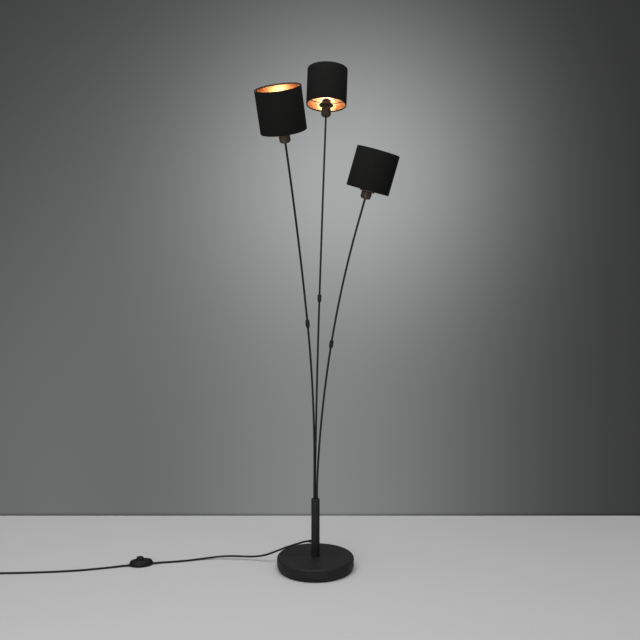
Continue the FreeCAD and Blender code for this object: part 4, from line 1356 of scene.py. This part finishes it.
    def bulb(self) -> None:
        """The lit candle bulb and its threaded metal cap."""
        low, steps = self.bulb_bottom, 16
        seam = level = low + self.cap_height
        outline = [(0.0, level), (self.bulb_radius - self.belly[1], level)]
        for (height, side), rising in ((self.belly, True), (self.tip, False)):
            radius = (height * height + side * side) / (2 * side)
            for step in range(1, steps + 1):
                rise = height * (steps - step if rising else step) / steps
                across = self.bulb_radius - radius + math.sqrt(radius * radius - rise * rise)
                outline.append((across, level + height * step / steps))
            level += height
        outline.append((0.0, level))
        glow = self.finishes.glow
        glass = self._turned("bulb_envelope", outline, glow, 48, sharp=80.0, map_radius=self.bulb_radius)
        self._keep(glass, "bulb_glass", "bulb_glass")
        rim, metal = seam - 0.2, self.finishes.bulb_metal
        cap = [(0, low), (1.8, low, 0.5), (6.6, low + 4, 1), (6.6, 54.2, 1), (8.3, rim, 0.4), (0, rim)]
        shell = self._turned("cap_shell", rounded(cap, steps=3), metal, 48)
        thread = self._repeat(self.repeater.thread, "cap_thread", 36.2, 5.0, 6.5, 0.5, 15.5, metal)
        self._join("bulb_metal_cap", [shell, thread], "bulb_metal", "bulb_cap")

    def build(self) -> None:
        """Builds the head."""
        self.holder()
        self.rings()
        self.shade()
        self.wires()
        self.bulb()


@dataclass
class BaseAndColumn:
    """The weighted base with its steel cover, and the column with its cap."""

    finishes: Finishes
    radius: float = 115.0
    top: float = 40.0
    edge: float = 6.0
    rim_height: float = 14.5
    rim_inset: float = 5.5
    hole: float = 5.2
    column_radius: float = 12.5
    column_top: float = 217.0

    def _turned(
        self, name: str, outline: Profile, finish: Material, slot: str, node: str, around: int = 96
    ) -> None:
        """Turns a piece of the stand about the column's axis, in place of a CAD node."""
        settle(lathe(name, outline, finish, around=around), "stand", slot, node)

    def cover(self) -> None:
        """The pressed cover: flat top, rounded shoulder and a drawn-in rim just above the floor."""
        r, wall, rim, draw, top = self.radius, 1.5, self.rim_height, self.rim_inset, self.top
        inside = [(self.hole, top - 2), (r - wall, top - 2, self.edge - wall), (r - wall, rim, 15)]
        painted_foot_shade = [(r - wall - draw, 1, 0.3), (r - draw, 1, 1.2)]
        outside = [(r, rim, 20), (r, top, self.edge), (self.hole, top)]
        outline = rounded(inside + painted_foot_shade + outside, steps=10)
        self._turned("base_shell", outline, self.finishes.steel, "black_steel", "base_cover", 192)

    def filling(self) -> None:
        """The cast weight with its pocket for the nut, and the foam pad, both inside the drawn-in rim."""
        pocket = [(self.hole, 12), (17, 12), (17, 2, 0.8)]
        outside = [(106.2, 2, 0.8), (112.6, 15.5, 0.4), (112.6, 16, 0.4), (self.hole, 16)]
        weight = rounded(pocket + outside, steps=3)
        self._turned("cast_base_weight", weight, self.finishes.iron, "cast_iron", "base_weight")
        pad = rounded([(0, 0), (105.8, 0, 0.6), (105.8, 2, 0.3), (0, 2)], steps=3)
        self._turned("floor_pad", pad, self.finishes.foam, "pad", "base_pad")

    def column(self) -> None:
        """The column tube and the cap that holds the arms."""
        r, top, steel = self.column_radius, self.column_top, self.finishes.steel
        seam, bore = top - 5, r - 1.2
        tube = [(5, self.top), (r, self.top, 0.3), (r, seam, 0.3), (bore, seam), (bore, 54), (5, 54)]
        self._turned("column_body", rounded(tube, steps=3), steel, "black_steel", "column_tube")
        cap = [(0, 198), (11.2, 198, 0.5), (11.2, seam), (r, seam, 0.3), (r, top, 1.2), (0, top)]
        self._turned("column_end_cap", rounded(cap, steps=4), steel, "black_steel", "column_cap")

    def build(self) -> None:
        """Builds base and column."""
        self.cover()
        self.filling()
        self.column()
        dress(self.finishes.zinc, "tie_rod", "base_nut")
        dress(self.finishes.ceramic, "terminal_block")


@dataclass
class CordGrip:
    """The strain relief in the column's side: a flange and a ribbed sleeve that droops with the cord."""

    finishes: Finishes
    height: float = 82.0
    azimuth: float = 128.0
    droop: float = 17.0
    seat: float = 12.8
    flange: float = 2.4
    sleeve_radius: float = 5.0
    taper: float = 0.07
    ribs: int = 6
    first_rib: float = 2.2
    rib_pitch: float = 2.8

    def build(self) -> None:
        """Builds the grip."""
        out = move(z=self.height) @ spin(self.azimuth) @ spin(90, "Y")
        seat, face = self.seat, self.seat + self.flange
        stem = [(0, 10), (4.4, 10), (4.4, seat)]
        flange = rounded([*stem, (6.25, seat, 0.3), (6.25, face, 0.9), (0, face)], steps=3)
        mouth = out @ move(z=face) @ spin(self.droop, "Y")
        sleeve = [(0.0, -1.2), (self.sleeve_radius, -1.2)]
        groove = ((0.0, 0.0), (0.45, 0.3), (0.5, 1.0), (0.1, 1.3))
        for rib in range(self.ribs):
            low = self.first_rib + rib * self.rib_pitch
            size = self.sleeve_radius - self.taper * low
            sleeve += [(size - depth, low + rise) for depth, rise in groove]
        sleeve += [(3.6, 19.6), (3.4, 20.0), (0.0, 20.0)]
        plastic = self.finishes.plastic
        parts = [lathe("grip_flange", flange, plastic, out, 48)]
        parts.append(lathe("grip_sleeve", sleeve, plastic, mouth, 48))
        settle(join_pieces("cord_grip_sleeve", parts), "stand", "black_plastic", "cord_grip")


@dataclass
class FootSwitch:
    """The in-line foot switch: two lens-shaped shells with a seam between them and a round button."""

    finishes: Finishes
    middle: tuple[float, float] = (-526.9, 26.5)
    yaw: float = 14.0
    length: float = 72.0
    width: float = 43.0
    end_width: float = 8.0
    end_draw: float = 0.364
    seam: float = 8.0
    top: float = 19.0
    cord_height: float = 4.4
    button: float = 11.0
    button_offset: float = -3.0
    crown: float = 27.0

    def _plan(self, inset: float) -> list[tuple[float, float]]:
        """The outline, drawn in by an inset: two shallow arcs and short straight ends.

        Args:
            inset: how far it is drawn in.

        Returns:
            (x, y) points, anticlockwise.
        """
        x, y = self.length / 2 - inset, max(self.end_width / 2 - inset * self.end_draw, 1.0)
        rise = self.width / 2 - inset - y
        radius = (x * x + rise * rise) / (2 * rise)
        half, steps = math.asin(x / radius), 16
        out = []
        for side in (-1, 1):
            for step in range(-steps, steps + 1):
                angle = half * step / steps
                across = radius * math.cos(angle) - radius + rise + y
                out.append((-side * radius * math.sin(angle), side * across))
        return out

    def build(self) -> list[Piece]:
        """Builds the switch.

        Returns:
            Its pieces.
        """
        place = move(*self.middle) @ spin(self.yaw)
        plastic, seam, top = self.finishes.plastic, self.seam, self.top
        low = rounded([(12, 0), (2.9, 0, 1.5), (0.2, seam - 0.6, 1), (0.8, seam)], closed=False)
        dish = stacked("switch_dish", self._plan, low, plastic, place)
        ends = [place @ move(x, 0, self.cord_height) @ spin(90, "Y") for x in (-37, -36.5, 36.5, 37)]
        rim, wall = 3.2, 3.6
        mouths = tube_along("switch_mouths", ends, lambda s: rim if s in (0.0, 1.0) else wall, plastic, 32)
        lower = join_pieces("switch_lower", [dish, mouths])
        settle(lower, "stand", "black_plastic", "switch_lower_shell")
        roof = [(0.8, seam), (0.1, seam + 0.5, 0.6), (6.6, top, 2.8), (14, top)]
        upper = stacked("switch_upper", self._plan, rounded(roof, closed=False, steps=7), plastic, place)
        settle(upper, "stand", "black_plastic", "switch_upper_shell")
        r, crown = self.button, self.crown
        knob = [(0, 15.2), (r + 1.6, 15.2), (r + 1.6, 16.7), (r, 16.7), (r, crown, 1.6)]
        knob += [(r - 3.5, crown, 0.6), (r - 4.8, crown - 0.6, 1), (0, crown - 0.7)]
        spot = place @ move(self.button_offset)
        button = lathe("switch_press_button", rounded(knob, steps=5), plastic, spot, 64)
        settle(button, "foot_switch_button", "black_plastic", "switch_button")
        dress(self.finishes.ceramic, "switch_mechanism")
        return [lower, upper, button]


@dataclass
class MainsPlug:
    """The flat two-pin plug at the cord's end."""

    finishes: Finishes
    repeater: Repeater
    back: tuple[float, float] = (-1050.0, -42.0)
    yaw: float = 180.0
    height: float = 14.0
    pin_offset: float = 9.5

    def build(self) -> list[Piece]:
        """Builds the plug.

        Returns:
            Its pieces.
        """
        place, plastic, high = move(*self.back) @ spin(self.yaw), self.finishes.plastic, self.height
        half = [(0, -6), (12, -7.2, 20), (22.5, -13, 12), (36, -13, 3)]
        plan = rounded(half + [(x, -y, *r) for x, y, *r in half[::-1]], steps=6)
        levels = rounded([(4, 0), (0, 0, 2.8), (0, high, 2.8), (4, high)], closed=False, steps=6)
        shell = stacked("plug_shell", lambda inset: inset_loop(plan, inset), levels, plastic, place)
        spot = place @ move(24.5, 0, high - 0.3) @ spin(90, "X")
        ribs = self.repeater.build(self.repeater.bars, "plug_ribs", spot, 4, (2.4, 0, 0), 0.6, 14.0, plastic)
        body = settle(join_pieces("plug_grip", [shell, ribs]), "stand", "black_plastic", "plug_body")
        distances, radii = (35.5, 54.1, 54.7, 55.0), (2.0, 2.0, 1.5, 0.7)
        pins, metal = [], self.finishes.pins
        for side in (-1, 1):
            root = place @ move(0, side * self.pin_offset, high / 2)
            rings = [root @ move(x) @ spin(90, "Y") for x in distances]
            pins.append(tube_along("plug_pin", rings, lambda share: radii[round(share * 3)], metal))
        return [body, settle(join_pieces("plug_contact_pins", pins), "stand", "pin_metal", "plug_pins")]


def main() -> None:
    """Builds the scene in order."""
    logging.basicConfig(level=logging.INFO, format="%(message)s")
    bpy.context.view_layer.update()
    stage = Stage()
    stage.camera()
    finishes = Finishes()
    repeater = Repeater()
    MainsCord(finishes).build(FootSwitch(finishes).build(), MainsPlug(finishes, repeater).build())
    BaseAndColumn(finishes).build()
    CordGrip(finishes).build()
    for line in ARMS:
        BendableArm(line, finishes).build()
        LampHead(line, finishes, repeater).build()
    stage.build()


if __name__ == "__main__":
    main()
